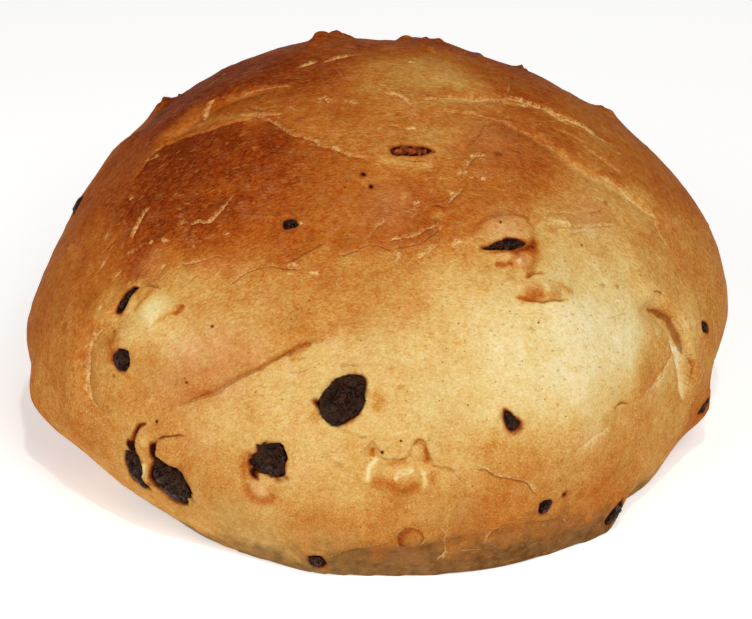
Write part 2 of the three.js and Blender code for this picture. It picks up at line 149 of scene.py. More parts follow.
# Fine tears and wrinkles. Pale ones show the dough under the glazed skin, with a painted highlight on
# their lips; dark ones are partly edges that caught the heat and partly painted shadow beside the lips:
# pale and dark are shares of the half widths, line and mark, in mm. Browner is how much more the left
# side is browned than the right, and spread how far, in mm, that reaches.
tears = [
    # front of the browned skin over the pale lobe
    tear([[-37.5, 8.5], [-32.6, 11.2], [-27.8, 14.3], [-24.4, 16.8], [-21.4, 18.9], [-17.2, 22.2],
         [-12.8, 24.5], [-5, 27.4]], lift=0.5, groove=0.4, taper=9, dark=0.6, browner=0.16, spread=12),
    tear([[-16.5, 19.8], [-13.3, 20.2], [-10.3, 21.6]], lift=0.3, dark=0.6, taper=3),
    # left flap and the slit with a raisin in it
    tear([[-47.4, 4.8], [-49.3, 5.1], [-51.7, 6.3], [-53.1, 8.6], [-54.2, 12.4], [-53.4, 15.7],
         [-52.2, 18.6]], lift=0.55, groove=0.6, pale=1, line=0.17, dark=0.6, browner=0.1, spread=5),
    tear([[-50.6, 20.5], [-50.9, 23], [-49.6, 25.4], [-46.6, 27], [-42.8, 27.6]], lift=0.42, groove=0.6,
         dark=0.9, pale=0.4, browner=0.16, spread=4, taper=3),
    tear([[-38.9, 23.8], [-38.6, 25.2], [-38.2, 27]], lift=0.4, dark=0.6, taper=2),
    tear([[-40, 29.6], [-39.3, 30.9], [-38.3, 32.2]], dark=0.6, pale=0.5, taper=2),
    tear([[-49.6, 29.5], [-48, 27.4]], pale=0.6, dark=0.6, taper=1.5),
    tear([[-51, 28.4], [-49, 26.5]], pale=0.6, dark=0.6, taper=1.5),
    tear([[-54.8, 27.2], [-53.2, 25.5]], pale=0.6, dark=0.5, taper=1.5),
    tear([[-61.9, 26.7], [-61.8, 29.2], [-61.8, 31.8]], dark=0.9, lift=0.3, taper=3),
    # pale tears across the dark patch
    tear([[-56.4, 30.4], [-58, 32.8], [-59, 34.8], [-59.7, 36.5], [-59.4, 37.7], [-58.9, 39.8]], pale=1,
         lift=0.42, dark=0.5, taper=6),
    tear([[-46.9, 38], [-46.2, 39.2], [-44.9, 40.2], [-42.3, 40.8], [-42.1, 41.8], [-41.7, 43.3],
         [-41.8, 45.7], [-41.2, 47.8]], pale=1, lift=0.42, dark=0.8, taper=3),
    tear([[-47.4, 35.4], [-46.5, 36.1], [-44.5, 37.6], [-43.3, 39.4]], dark=1, pale=0.3, taper=2),
    tear([[-46.8, 29.4], [-45.9, 31.6]], pale=0.9, dark=0.6, taper=2),
    tear([[-44.5, 31.9], [-43.7, 32.2], [-40.8, 33.2], [-39.3, 34.1], [-38.1, 34.7], [-36.9, 35.5],
         [-33, 36.3]], pale=0.8, line=0.14, dark=0.5, taper=3),
    tear([[-31.8, 31.2], [-31, 32.1], [-29.6, 33.3], [-28.3, 34.8], [-26.1, 35.9], [-23.4, 37.1],
         [-21.3, 36.8], [-18.2, 36.9], [-15.8, 36.7]], pale=0.7, dark=0.9, lift=0.42, taper=3, browner=0.1,
         spread=6),
    tear([[-20.6, 38], [-18.1, 39], [-15.8, 40.3], [-13.4, 41.8], [-11.2, 43]], dark=1, mark=0.32,
         lift=0.42, browner=0.14, spread=4, taper=3),
    tear([[-29.1, 29.8], [-27.6, 30.4], [-26.6, 31.1]], dark=0.7, taper=1.5),
    # upper border of the dark patch
    tear([[-72, 37.6], [-76.5, 42], [-79.2, 45.8], [-75.4, 50.4], [-71.2, 54.4], [-67.6, 58.3],
         [-63.6, 61.3], [-59.5, 62.3]], pale=0.35, dark=0.4, browner=-0.22, spread=6, taper=6),
    tear([[-59.5, 62.3], [-55, 64.4], [-51.1, 64.3], [-40.1, 63.6], [-35, 64.1], [-28.4, 63.9],
         [-25.1, 63.2], [-19.2, 63], [-14.2, 62.3], [-9.4, 61.4], [-1, 60.6]], pale=0.7, dark=0.5,
         browner=-0.16, spread=7, taper=6),
    # crumbly streaks in the band beyond it
    tear([[-79.6, 54.2], [-86.9, 55.7], [-91.7, 57.9]], pale=1, line=0.28, lift=0.42, taper=4),
    tear([[-91.5, 57], [-89.4, 60], [-87.5, 65.2], [-84.2, 68.9], [-77.6, 73]], pale=0.45, line=0.2,
         lift=0.42, browner=0.12, spread=6, taper=4),
    tear([[-73, 63], [-65, 65.7], [-57.8, 69.3]], dark=1, mark=0.26, pale=0.5, lift=0.42, taper=3),
    tear([[-66.9, 62.8], [-57.6, 65.2], [-52.1, 67.7]], dark=1, mark=0.26, pale=0.8, lift=0.42, taper=3),
    tear([[-70, 60.4], [-62, 63.4], [-55.6, 65.6]], dark=0.9, pale=0.7, taper=2),
    tear([[-106, 72.8], [-115.6, 74.8], [-125, 76.5]], pale=1, line=0.21, lift=0.5, taper=4),
    tear([[-112, 77.2], [-126.2, 78.7], [-137.4, 79.7], [-164, 80]], pale=0.8, line=0.21, lift=0.5),
    tear([[-106, 51.8], [-112, 52.8], [-119, 52], [-127, 52.4]], pale=0.6, line=0.21, browner=0.1,
         spread=5),
    tear([[-77.5, 41], [-75, 44.8]], pale=0.9, line=0.17, taper=2),
    tear([[-107, 81.8], [-81, 82.5], [-56, 81.8]], pale=0.5, taper=3),
    tear([[3, 80], [9.4, 80.1], [22.5, 79.3], [26.2, 76.7], [29.8, 74]], pale=0.9, line=0.28, lift=0.5),
    # long tears on the right of the top
    tear([[38, 76], [42, 75.6], [47.4, 75], [56, 73.4], [64, 71.2], [71, 68.3], [77.4, 65.6], [81.9, 62.7],
         [84.8, 58.7], [85.6, 55.3], [84.5, 52.3], [86.6, 47.7], [85.5, 44.8], [85.8, 41.6]], pale=1,
         line=0.18, lift=0.2, dark=0.6, browner=0.12, spread=5, taper=4),
    tear([[80.4, 63.4], [84.4, 63.8], [91.8, 62.9], [107.3, 61.7]], pale=0.8, line=0.13, taper=3),
    tear([[52.4, 68.9], [59.4, 65.1], [64, 61.6], [64.6, 58.4], [66.4, 56.1], [68, 54.9], [68.1, 50.6]],
         pale=0.7, line=0.12, dark=0.4, lift=0.3),
    tear([[66.6, 54.4], [68.1, 52], [68.2, 48.9], [67.6, 46.8], [68.3, 43], [71.2, 40.3]], pale=0.4,
         line=0.13, lift=0.15, browner=0.1, spread=5),
    tear([[68.3, 43], [71.2, 40.3], [72.6, 37.5], [72.2, 34.5], [73.3, 31.8], [74.5, 29.1], [73.3, 27.1],
         [72.2, 25.4], [72.3, 22.5]], pale=1, lift=0.2, dark=0.4, browner=0.1, spread=5, taper=4),
    tear([[62.6, 40], [64, 38.4], [65.8, 36.1]], pale=0.8, line=0.14, lift=0.2, taper=2),
    tear([[36, 71.5], [52, 68.5], [60, 65.5]], pale=0.5, lift=0.3, taper=6),
    tear([[37.3, 60.4], [43, 61.6], [47.9, 62.1], [54.3, 63.6], [60, 62.8], [63.5, 61.4], [64.6, 58.4]],
         lift=0.4, groove=0.4, dark=0.5, taper=3),
    tear([[76, 47], [76.5, 42], [77.5, 37.5]], pale=0.5, taper=3),
    tear([[74, 55], [77.5, 50], [78.5, 45.5]], pale=0.5, taper=4),
    # flakes and creases over the middle of the front
    tear([[-10.6, 40.3], [-7.2, 40.8], [-4.9, 41.5], [-2.2, 42.4], [0.9, 42.2], [2.5, 41.7], [6.5, 42.2],
         [10, 42.4], [14, 43.8], [17.5, 45.8]], dark=0.9, pale=0.5, browner=0.1, spread=5, taper=3),
    tear([[-2.4, 42.7], [-1.5, 44.7], [0.5, 46.2], [2.8, 47.5], [3.8, 48.4]], pale=1, line=0.17, lift=0.42,
         dark=0.6, taper=3),
    tear([[2, 42.9], [4.2, 43.5], [8.5, 43.9], [12.4, 44.8], [15.9, 45.3], [17.6, 46.6]], pale=1, line=0.17,
         lift=0.42, dark=0.7, taper=3),
    tear([[15.3, 50.2], [17.5, 49.4], [19.7, 48.7]], dark=1, mark=0.32, lift=0.42, taper=2),
    tear([[19.8, 49.1], [23.6, 50.6], [27.3, 52.1]], pale=1, line=0.21, dark=0.9, lift=0.42, taper=2),
    tear([[27.3, 52.1], [27, 54], [30.4, 55.8], [35, 57.2], [45.5, 58.7]], dark=0.7, pale=0.4, taper=3),
    tear([[9, 39.2], [11.5, 40.4], [13.9, 41.3], [15.8, 42.1]], pale=1, line=0.31, dark=0.4, lift=0.42,
         taper=3),
    tear([[17.8, 40.8], [19.7, 41.8], [21.9, 41.2]], pale=1, line=0.28, dark=0.5, lift=0.42, taper=2),
    tear([[22.6, 40.9], [24.2, 42], [27, 41.5]], pale=1, line=0.28, dark=0.4, taper=2),
    tear([[8.6, 60.7], [14, 60.4], [20.4, 59.8]], dark=0.8, taper=2),
    tear([[5, 69.9], [10, 69.7], [14.6, 69.2]], dark=0.9, pale=0.6, taper=2),
    tear([[38.4, 40.8], [42.5, 41.2], [46.3, 40.6], [47.6, 39.3], [49.9, 37.7], [56.5, 36], [64.2, 32.5]],
         pale=0.9, lift=0.5, dark=0.5, browner=0.14, spread=9),
    tear([[47.1, 36.9], [51, 36.6], [54.7, 35.8]], pale=0.8, dark=0.4, taper=2),
    tear([[44.5, 42.4], [50.5, 41], [55, 38.6]], pale=0.7, dark=0.4, taper=3),
    tear([[57, 38.9], [61, 37.4], [65, 36.2]], pale=0.5, dark=0.6, taper=3),
    tear(arc([31.5, 41], 10.4, 175, -205, squash=0.62), lift=-0.25, groove=0.4, dark=0.3),
    tear([[27.9, 30.1], [30.5, 29.5], [32.5, 28.5], [33.8, 28.2], [36.2, 27.8], [38.8, 27.3]], lift=0.2,
         dark=1, mark=0.3),
    tear([[31.3, 32.7], [32.3, 33.1], [34.1, 33.1], [35.9, 32.7]], lift=0.4, dark=0.9, taper=2),
    # loose flakes
    chip([35, 58.1], [42.5, 57.3], 0.34), chip([31, 56.1], [35.1, 57.4], 0.39),
    chip([26.6, 55.2], [31.5, 55.1], 0.44), chip([20.4, 54.9], [23.8, 55.1], 0.29),
    chip([30, 53.7], [32.6, 53.7], 0.25), chip([33.6, 52.8], [36, 52.5], 0.25),
    chip([21.4, 50.8], [23.6, 51.3], 0.44), chip([9.9, 50.3], [12.7, 51], 0.25),
    chip([8.4, 48.9], [11.3, 49.5], 0.25), chip([5.3, 41.4], [4.5, 39.3], 0.44),
    chip([47.4, 40.2], [50.2, 38.2], 0.46), chip([-40.3, -1.4], [-39.9, -3.4], 0.3),
    chip([-39.7, -3], [-39.3, -5], 0.25), chip([-50.5, 33.9], [-49.3, 35.2], 0.25),
    chip([-53.1, 32.5], [-52.1, 33.5], 0.29), chip([-37.8, 39.6], [-36, 40.5], 0.25),
    chip([-67.6, 36], [-67, 37.4], 0.29), chip([-20.7, 45], [-18.7, 45.7], 0.29),
    chip([-20.2, 37.4], [-16.6, 37.5], 0.3), chip([-19.6, 35.5], [-17.4, 36], 0.24),
    chip([-14.7, 36.5], [-11.9, 36.4], 0.34), chip([-8.3, 36.6], [-8.1, 34.5], 0.29),
    chip([-29, 64.2], [-24.8, 63], 0.44), chip([-19.2, 63.1], [-14, 62.3], 0.34),
    chip([-13.2, 62.2], [-9.2, 61.1], 0.44), chip([-31.6, 77], [-15.5, 76.4], 0.34),
    chip([14.4, 68.5], [21.5, 68], 0.29), chip([126, 82.4], [118.6, 80.3], 0.29),
    chip([50, 22.9], [52.4, 22.4], 0.14), chip([57, 7.9], [53.6, 7.2], 0.34),
    *[chip([-44.1, 75.2], end, 0.18) for end in arc([-44.1, 75.2], 3.6, 15, 330, squash=0.75)[::3]],
    # right lobe: the deep tuck, darkened along its crease partly as painted shade, its pale inner lip and
    # the skin below
    tear([[60, 18.1], [61.4, 17.1], [62.5, 15.8], [63.6, 14.1], [64, 12.5], [64.2, 10.7], [64.8, 6.8]],
         lift=0, dark=1, mark=0.62, taper=3),
    tear([[65.1, 7.4], [65.6, 5.8], [65.8, 4.2], [65.4, 2.6], [64.6, 1]], lift=0.2, dark=0.8, mark=0.22,
         taper=3),
    tear([[61.5, 9.6], [59.5, 8.8], [57.5, 8], [55.9, 7.1], [53.9, 7], [51.1, 6.9], [49.3, 6.9]], pale=1,
         line=0.24, dark=0.5, lift=0.5, browner=-0.14, spread=5, taper=4),
    tear([[60.2, 20.9], [61.4, 20.7], [62.6, 20], [62.9, 19.2]], dark=1, mark=0.3, taper=1.5),
    tear([[42, 7.4], [43.3, 7.7], [45.2, 7.1], [46.3, 6.3]], lift=0.4, groove=0.4, dark=0.8, mark=0.28,
         taper=2),
    tear([[41.7, 4.6], [39.2, 4.4], [37.1, 4.1], [35.3, 3.4], [33, 3]], pale=1, line=0.3, lift=0.42,
         taper=3),
    tear([[45, 22.1], [47.2, 21.5], [49.3, 20.9], [52.6, 20.5]], dark=0.5, taper=3),
    # crags in the middle of the front: a torn hollow with a ragged upper edge and a rolled lower one
    tear([[-1.6, 6.6], [-1.5, 8.4], [-0.5, 9.4], [0.3, 8.2], [0.9, 6.4], [3.6, 6], [5.1, 6.8], [5.8, 8.6],
         [6.7, 9.6], [7.5, 9.3], [8, 8.1], [8.6, 6.2], [8.9, 5], [11.3, 4.2], [12.5, 3.3]], lift=0.6,
         groove=0.5, taper=1.5),
    tear([[9.4, 1], [7.4, 1.6], [4.1, 0.6], [1.6, 1.4], [-1.2, 2.2]], lift=0.42, groove=0.4, taper=2),
    tear([[11.2, 4.4], [12.5, 3.3], [13.7, 1.6]], pale=0.8, taper=1.5),
    tear([[11.9, 3.9], [13.2, 2.4], [14.8, 0.7], [15.5, -1.3]], pale=0.6, lift=0.3, taper=3),
    tear([[8.2, 12.6], [9.8, 11], [9.6, 9.6]], pale=0.5, taper=2),
    # cracks and tails beside raisins
    tear([[-6.9, 21.2], [-4.7, 21.8], [-2.5, 21.4]], dark=0.6, groove=0.5, lift=0.4, taper=1.5),
    tear([[-5.6, 11.5], [-3.9, 10.7], [-2.3, 10.3], [-1, 9.6]], pale=0.7, taper=2),
    tear([[11.1, 15.2], [11.9, 13.3], [12.3, 10.9]], pale=0.8, lift=0.2, taper=2),
    tear([[15.2, 4], [17.8, 3.2], [19.4, 2], [21.9, 1.2], [24.2, 0], [25.2, -1.3], [26.3, -3.1]], dark=0.9,
         mark=0.18, groove=0.4, lift=0.25, pale=0.9, taper=2),
    tear([[-42.1, -0.6], [-41.9, 1.7], [-41.5, 3.7], [-40.6, 5.3], [-39.3, 6]], groove=0.9, lift=0.5,
         taper=3),
    tear([[-37.6, -2.6], [-38.2, 0.7], [-37.4, 3.4], [-36.2, 4.5], [-34.2, 5.2], [-32.2, 6.1]], groove=0.9,
         lift=0.5, taper=3),
    tear(arc([-18.7, -0.6], 3.9, 170, 200), lift=-0.3, groove=0.5, dark=0.2, taper=2),
    tear([[-14.7, -5.1], [-13.2, -4.5], [-12.4, -3]], lift=0.4, dark=0.5, taper=1),
    # blister near the foot
    tear(arc([5.7, -8.6], 3.6, 270, 360), lift=0.42, groove=0.5, dark=0.3, mark=0.32, taper=0.4),
    tear(arc([5.7, -8.6], 4.3, 180, 180), lift=0.3, groove=0.1, pale=0.7, taper=2),
    # skin edges over the band that lay on the sheet
    tear([[-9, -13.5], [-5.9, -12.2], [-3, -11], [0.5, -9.4], [3, -8.2]], pale=0.7, line=0.21, dark=0.4,
         lift=0.5, taper=3),
    tear([[10.2, -5.5], [10.6, -6.8], [11.3, -7.9], [10.9, -9.6], [11.3, -11.7], [9.5, -13.8]], pale=0.8,
         line=0.2, lift=0.4, taper=2),
    tear([[13.5, -11.9], [15.7, -12.3], [18, -12.6]], pale=0.8, line=0.2, lift=0.3, taper=1),
    tear([[18, -11.8], [18.6, -9.6], [20.9, -7.4], [22.9, -7.2]], pale=0.8, line=0.22, dark=0.3, lift=0.4,
         taper=2),
    tear([[24.2, -8.4], [27.4, -8.6], [31.3, -9.2], [34.2, -11.7]], pale=0.7, line=0.18, dark=0.4, lift=0.5,
         taper=3),
    # unseen sides and back
    tear([[98, 50], [108, 47], [116, 43], [121, 37]], pale=0.7),
    tear([[131, 66], [139, 61], [150, 60], [158, 62]], pale=0.7),
    tear([[-172, 68], [-160, 64], [-150, 64], [-141, 60]], pale=0.7),
    tear([[-128, 50], [-134, 44], [-143, 42], [-149, 37]], pale=0.75, browner=0.1, spread=8),
    tear([[174, 45], [165, 42], [157, 42], [150, 38]], pale=0.6),
    tear([[96, 14], [103, 12], [109, 13]], dark=0.4, pale=0.4),
    tear([[-134, -2], [-141, -5], [-150, -6], [-157, -9]], pale=0.6, dark=0.3),
    tear([[86, -6], [93, -9], [101, -9], [108, -12]], pale=0.6),
]


# Hairlines where the browned skin stretched: middle, reach across and up in degrees, how they lie in
# degrees from level, and how many. Half lengths are in mm.
stretched = [
    ([76, 48], 8, 9, -62, 46), ([-44, 39], 7, 6, 48, 26), ([14, 48], 9, 5, 24, 34),
    ([-60, 66], 14, 6, 28, 26), ([-10, 70], 22, 6, 4, 26), ([-30, 55], 14, 6, 12, 22),
    ([48, 60], 14, 6, -20, 22), ([55, 44], 9, 6, -35, 18), ([-52, 29], 6, 3, 70, 14),
    ([-56, 12], 5, 8, 82, 12), ([-14, 6], 10, 8, 30, 10), ([70, 12], 5, 8, -80, 12),
    ([14, -7], 10, 4, 10, 14), ([150, 50], 30, 12, 15, 20),
]
half_lengths = (0.8, 3.2)
turn_unrest = 14
hairlines = []
for middle, across, upward, turn, count in stretched:
    for number in range(count):
        place = [middle[0] + draw.gauss(0, across), middle[1] + draw.gauss(0, upward)]
        way = math.radians(draw.gauss(turn, turn_unrest))
        reach = math.degrees(draw.uniform(*half_lengths) / mean_radius)
        step = [reach * math.cos(way) / math.cos(math.radians(place[1])), reach * math.sin(way)]
        path = [[place[0] + share * step[0], place[1] + share * step[1]] for share in (-1, 0, 1)]
        hairlines.append(tear(path, taper=1.5, pale=draw.uniform(0.4, 1), dark=0.5, line=0.13, mark=0.14))


# Strokes of browning, on the skin over raisins, in torn hollows and along folds: path, how much
# browner, less than 0 where the dough stayed paler, and half width in mm
strokes = [
    # lip of the browned skin over the pale lobe
    ([[-31, 12.6], [-20.5, 19.8], [-14, 24.4]], 0.16, 0.6),
    # golden bands and crumbly patches of the top
    ([[-1.1, 60.6], [9.1, 60.2], [14.3, 59.1], [21.3, 58.6]], -0.12, 1.5),
    ([[-83.6, 45], [-82, 49.4], [-76, 55.5], [-68, 60.6], [-62, 63]], -0.09, 2),
    ([[-89.2, 59], [-88.5, 63.5], [-84.2, 68.9], [-77.6, 73]], -0.14, 1.8),
    ([[-78.5, 66.6], [-75, 67.6]], -0.16, 2.2),
    ([[36.4, 62.6], [38, 62]], -0.14, 2.8),
    ([[18.6, 48.8], [15.4, 46.1]], -0.18, 1.9),
    ([[6.8, 52.3], [8.4, 52]], -0.18, 1.6),
    ([[-47.5, 37.8], [-45.9, 38.6]], -0.16, 1.3),
    ([[-31.2, 42.7], [-30.6, 43.1]], -0.2, 0.8),
    ([[-32.6, 40], [-31.9, 40.5]], -0.2, 0.8),
    ([[-31, 33.3], [-28.3, 36], [-24.5, 37.9]], -0.1, 1.8),
    ([[-52, 25.8], [-47, 26.8]], -0.2, 1.5),
    ([[-31, 33.2], [-28, 28.5]], 0.05, 3),
    ([[45, 56.6], [48.4, 56]], 0.35, 0.8),
    ([[67.5, 50], [68.5, 42.5], [72.6, 34]], -0.12, 1.6),
    ([[55, 73], [76, 66], [84.4, 57.5], [85, 50]], -0.12, 1.3),
    # tuck on the right lobe: a brown groove, partly browned crust and partly painted shade in the crease,
    # widest in its upper half, and the pale dough inside it
    ([[60, 18.1], [61.4, 17.1], [62.5, 15.8], [63.6, 14.1], [64.2, 10.7], [64.8, 6.8]], 0.14, 0.8),
    ([[65.1, 7.4], [65.6, 5.8], [65.8, 4.2], [65.4, 2.6]], 0.1, 0.5),
    ([[63.1, 10.6], [63.4, 7.6]], -0.3, 0.7),
    ([[63.7, 9.4], [64, 7], [63.9, 4.6], [63.3, 2], [62.4, -0.5]], -0.3, 1.2),
    ([[63.4, 7.6], [63, 4.6], [61.8, 2.4]], -0.12, 1.8),
    ([[57, 15], [60.8, 14.4], [62, 12]], -0.1, 2),
    # round the slit on the right, and the blob under it
    ([[38.1, 42.6], [39.2, 41.4], [38.6, 40], [37.7, 38.6]], 0.1, 0.8),
    ([[30.6, 38], [33.2, 38.2], [35.6, 37.8], [38.4, 38]], 0.3, 1.7),
    ([[37.4, 39.4], [36.7, 37.2], [35.4, 35], [33.1, 34.1], [31.4, 33.2]], 0.26, 1.6),
    ([[29, 36.6], [32, 36], [33.6, 35]], 0.2, 2.6),
    ([[31.2, 36.4], [32, 35.4]], -0.34, 0.9),
    ([[31.6, 32.7], [33.1, 33.2], [35.7, 32.6]], 0.22, 0.45),
    ([[26.2, 36.5], [28.3, 35.9], [30.4, 35.7]], 0.36, 0.8),
    ([[25.6, 38.8], [31.7, 38], [36, 38]], 0.26, 0.9),
    ([[26.8, 33.8], [31, 34]], 0.1, 2),
    (arc([31.5, 41], 11, 165, -150, squash=0.62), 0.14, 0.9),
    # raised skin over a buried raisin
    ([[29.6, 30.8], [32.4, 30.5], [34.6, 29.9]], 0.26, 2.2),
    ([[28.4, 30.1], [31.4, 29.7], [34.4, 29], [37.6, 28.3]], 0.26, 1.1),
    ([[34.2, 30.4], [38.2, 29.2], [40.6, 27.4]], 0.16, 1.7),
    ([[27.9, 30.1], [30.5, 29.5], [32.5, 28.5], [33.8, 28.2], [36.2, 27.8], [38.8, 27.3]], 0.22, 0.6),
    ([[36.2, 31.3], [38.2, 30], [40, 28.1], [40.3, 27]], 0.1, 0.5),
    ([[41.7, 39.7], [44.6, 39.1], [47, 39]], 0.14, 1.3),
    # the torn hollow in the middle of the front, with a painted highlight across it and painted shade in
    # its narrow top, on the right of its wall and under its lower edge
    ([[-0.5, 8.6], [-0.8, 6.8]], 0.35, 0.8),
    ([[0.4, 6.8], [-1, 4.9], [-1.3, 2.4]], -0.25, 0.8),
    ([[1.4, 5.4], [3.6, 5.5], [5.1, 6.3]], 0.14, 0.8),
    # painted shade in the narrow top of the hollow and on the right of its wall
    ([[5.7, 8.6], [6.8, 9.2], [7.8, 8], [8.4, 5.4]], 0.2, 0.7),
    ([[7.8, 8.2], [8.2, 5]], 0.2, 0.9),
    # painted highlight across the hollow
    ([[2.7, 2.6], [3.2, 3.2], [4.2, 4.1], [6.2, 4.5]], -0.25, 0.8),
    # painted shadow under the highlight, along the hollow's lower edge
    ([[-1.1, 2.7], [2.1, 2], [4, 1.1], [7.2, 2.2]], 0.2, 1.5),
    ([[7.7, 4.4], [7.8, 1.2]], -0.2, 0.6),
    ([[9.2, 4.2], [9.1, 1.4]], 0.15, 1.1),
    # soft halos beside the large raisin, and creases of the browned lip
    ([[-0.7, 18.1], [0.3, 16.2], [-0.3, 14]], 0.2, 1.8),
    ([[-11, 13.7], [-8.9, 12.6]], 0.14, 1.6),
    ([[-16.1, 22.5], [-14, 23.4], [-11.9, 24.8]], 0.22, 0.8),
    ([[-15.6, 21.9], [-13.7, 22.1], [-12.3, 22.5]], 0.2, 0.5),
    # rim of the blister near the foot
    (arc([5.7, -8.6], 3.4, 270, 360), 0.14, 0.5),
    (arc([5.7, -8.6], 2.8, 80, 160), 0.2, 0.8),
    # beside the raisins on the left
    ([[-33.5, 1], [-32.2, -2]], 0.14, 3),
    ([[-39.8, -1], [-40.3, -3], [-40.9, -6]], -0.4, 0.8),
    ([[-39.6, 3.6], [-39.9, 1.6]], -0.15, 1.2),
    ([[-18, 0.4], [-19.4, -2.2]], -0.1, 1.4),
    # browner lower ring round the bump below the raisin, partly painted shade
    (arc([-18.7, -0.8], 4, 150, 200), 0.2, 1.1),
    ([[-21.2, 6], [-21.5, 3], [-21.3, 0.4]], 0.16, 0.9),
    ([[-38.8, 24.2], [-38.5, 25.5], [-38.3, 26.8]], 0.3, 0.5),
    ([[-42.2, 21.3], [-40.5, 23.2], [-39, 25]], 0.16, 0.6),
    ([[-47.3, 22], [-45.9, 24.6], [-44.8, 27]], 0.14, 0.8),
    ([[-47.6, 13], [-49.5, 16.2], [-49.2, 18.4]], 0.12, 1.6),
]

# Smears of syrup and crushed raisin, which reach out from the raisins, and one painted shadow beside a
# raisin: path, strength and half width
smears_and_shadows = [
    ([[-42.6, -1.6], [-41.9, 1.7], [-41.5, 3.7], [-40.6, 5.3], [-39.1, 6]], 0.8, 0.6),
    ([[-42.5, 3], [-42.3, 1.4], [-41.8, 0], [-41.2, -1.6]], 1.2, 0.9),
    ([[-36.9, -2.8], [-37.7, -0.6], [-38.2, 1.2], [-37.7, 3.6]], 1.1, 0.9),
    ([[-40, -0.3], [-40.4, -1.2]], 0.9, 0.5),
    ([[-37.5, 3.2], [-36.2, 4.5], [-34.2, 5.2], [-31.8, 6.1]], 0.45, 0.5),
    ([[-40.9, -0.9], [-39.8, -0.8]], 0.5, 0.5),
    ([[-20.6, 6.6], [-20.7, 3.2], [-20.4, 1.6]], 0.5, 0.7),
    ([[-20.6, 3.6], [-20, 1.8], [-18.2, 0.8]], 1, 0.9),
    # painted shadow at the lower right of the raisin above the bump on the left
    ([[-17.4, 1], [-15.6, 1.7], [-14, 2.3]], 0.45, 1),
    ([[-15.4, 3.4], [-13.6, 1.6]], 0.6, 0.9),
    ([[-15.4, 6.2], [-13.8, 6.3]], 0.6, 0.5),
    ([[-6.4, 14.4], [-9, 15], [-11.4, 16.2]], 1, 1),
    ([[-46.9, 12.4], [-47.3, 10.8]], 0.7, 0.7),
    ([[22.2, 9.4], [22.4, 8.2]], 0.8, 0.5),
    ([[5.4, 31.5], [3.9, 31.1]], 0.6, 0.6),
    ([[70.6, 9.6], [72.6, 7.2]], 0.7, 0.5),
    ([[17, 61.6], [21, 61.5]], 0.5, 0.6),
]

# Small dark spots of syrup and of crushed raisin: direction, strength and size in mm
spots = [
    ([-6.1, 5.7], 0.25, 1), ([31.5, -4.4], 0.9, 0.7), ([-4.5, 57.2], 1, 0.8), ([-1.4, 54.6], 1, 0.8),
    ([46.4, 56.4], 0.7, 0.6), ([-9.8, 54.3], 1.1, 0.31), ([31.4, 43.5], 1.1, 0.25),
    ([-60.4, 30.6], 0.4, 1.5), ([-66.4, 23.6], 0.6, 0.8), ([48.8, 26.8], 0.3, 0.8),
    ([52.1, 25.2], 0.3, 0.7), ([-57, 19], 0.3, 1.3), ([-61, 14], 0.3, 1.4), ([64.9, 37.3], 0.4, 0.9),
    ([14.9, 73.2], 0.5, 0.6), ([49.7, 34.2], 1.1, 0.22), ([-40.9, -6], 0.4, 0.8), ([-38.9, -5], 0.4, 0.7),
    ([-50.1, 17.6], 1.1, 0.25), ([-37.6, 6.6], 1.1, 0.31), ([3.9, 9.4], 1.1, 0.22), ([1, 7.6], 1.1, 0.31),
    ([30.6, 25.3], 1.1, 0.22), ([-31.4, 24.2], 1.1, 0.31), ([-33, 14.6], 1.1, 0.25),
]


def directions(places):
    """Unit vectors from azimuths and elevations in degrees."""
    azimuth, elevation = np.radians(np.asarray(places, float).reshape(-1, 2)).T
    level = np.cos(elevation)
    return np.stack([level * np.sin(azimuth), -level * np.cos(azimuth), np.sin(elevation)], axis=1)


def smoothstep(low, high, value):
    """0 below the low value, 1 above the high one, and a smooth step between them."""
    share = np.clip((value - low) / (high - low), 0, 1)
    return share * share * (3 - 2 * share)


def ring(radii, azimuth):
    """A smooth ring through evenly spaced values, read at azimuths in degrees."""
    values = np.asarray(radii, float)
    count = len(values)
    place = (azimuth * count / 360) % count
    first = np.floor(place).astype(int)
    share = place - first
    before, low, high, after = [values[(first + step) % count] for step in (-1, 0, 1, 2)]
    slope = high - before
    bend = 2 * before - 5 * low + 4 * high - after
    twist = 3 * low - before - 3 * high + after
    return 0.5 * (2 * low + slope * share + bend * share**2 + twist * share**3)


def body_radius(points):
    """How far the plain body reaches in each direction: domed above the waist, drawn in below it."""
    azimuth = np.degrees(np.arctan2(points[:, 0], -points[:, 1]))
    level = np.hypot(points[:, 0], points[:, 1])
    waist = ring(waist_radii, azimuth)
    keel = waist_height / np.sqrt(1 - (ring(foot_radii, azimuth) / waist) ** 2)
    under = 1 / np.hypot(level / waist, points[:, 2] / keel)
    rise = np.maximum(points[:, 2], 0) / crown_rise
    over = ((level / waist) ** crown_fullness + rise**crown_fullness) ** (-1 / crown_fullness)
    return np.where(points[:, 2] < 0, under, over)


def gap_to(place, points):
    """How far each point is from a place on the loaf, in mm."""
    return np.linalg.norm(points - directions(place), axis=1) * mean_radius


def bell(place, points, wide):
    """A bell of height 1 about a place, of a half width in mm, at each point."""
    return np.exp(-0.5 * (gap_to(place, points) / wide) ** 2)


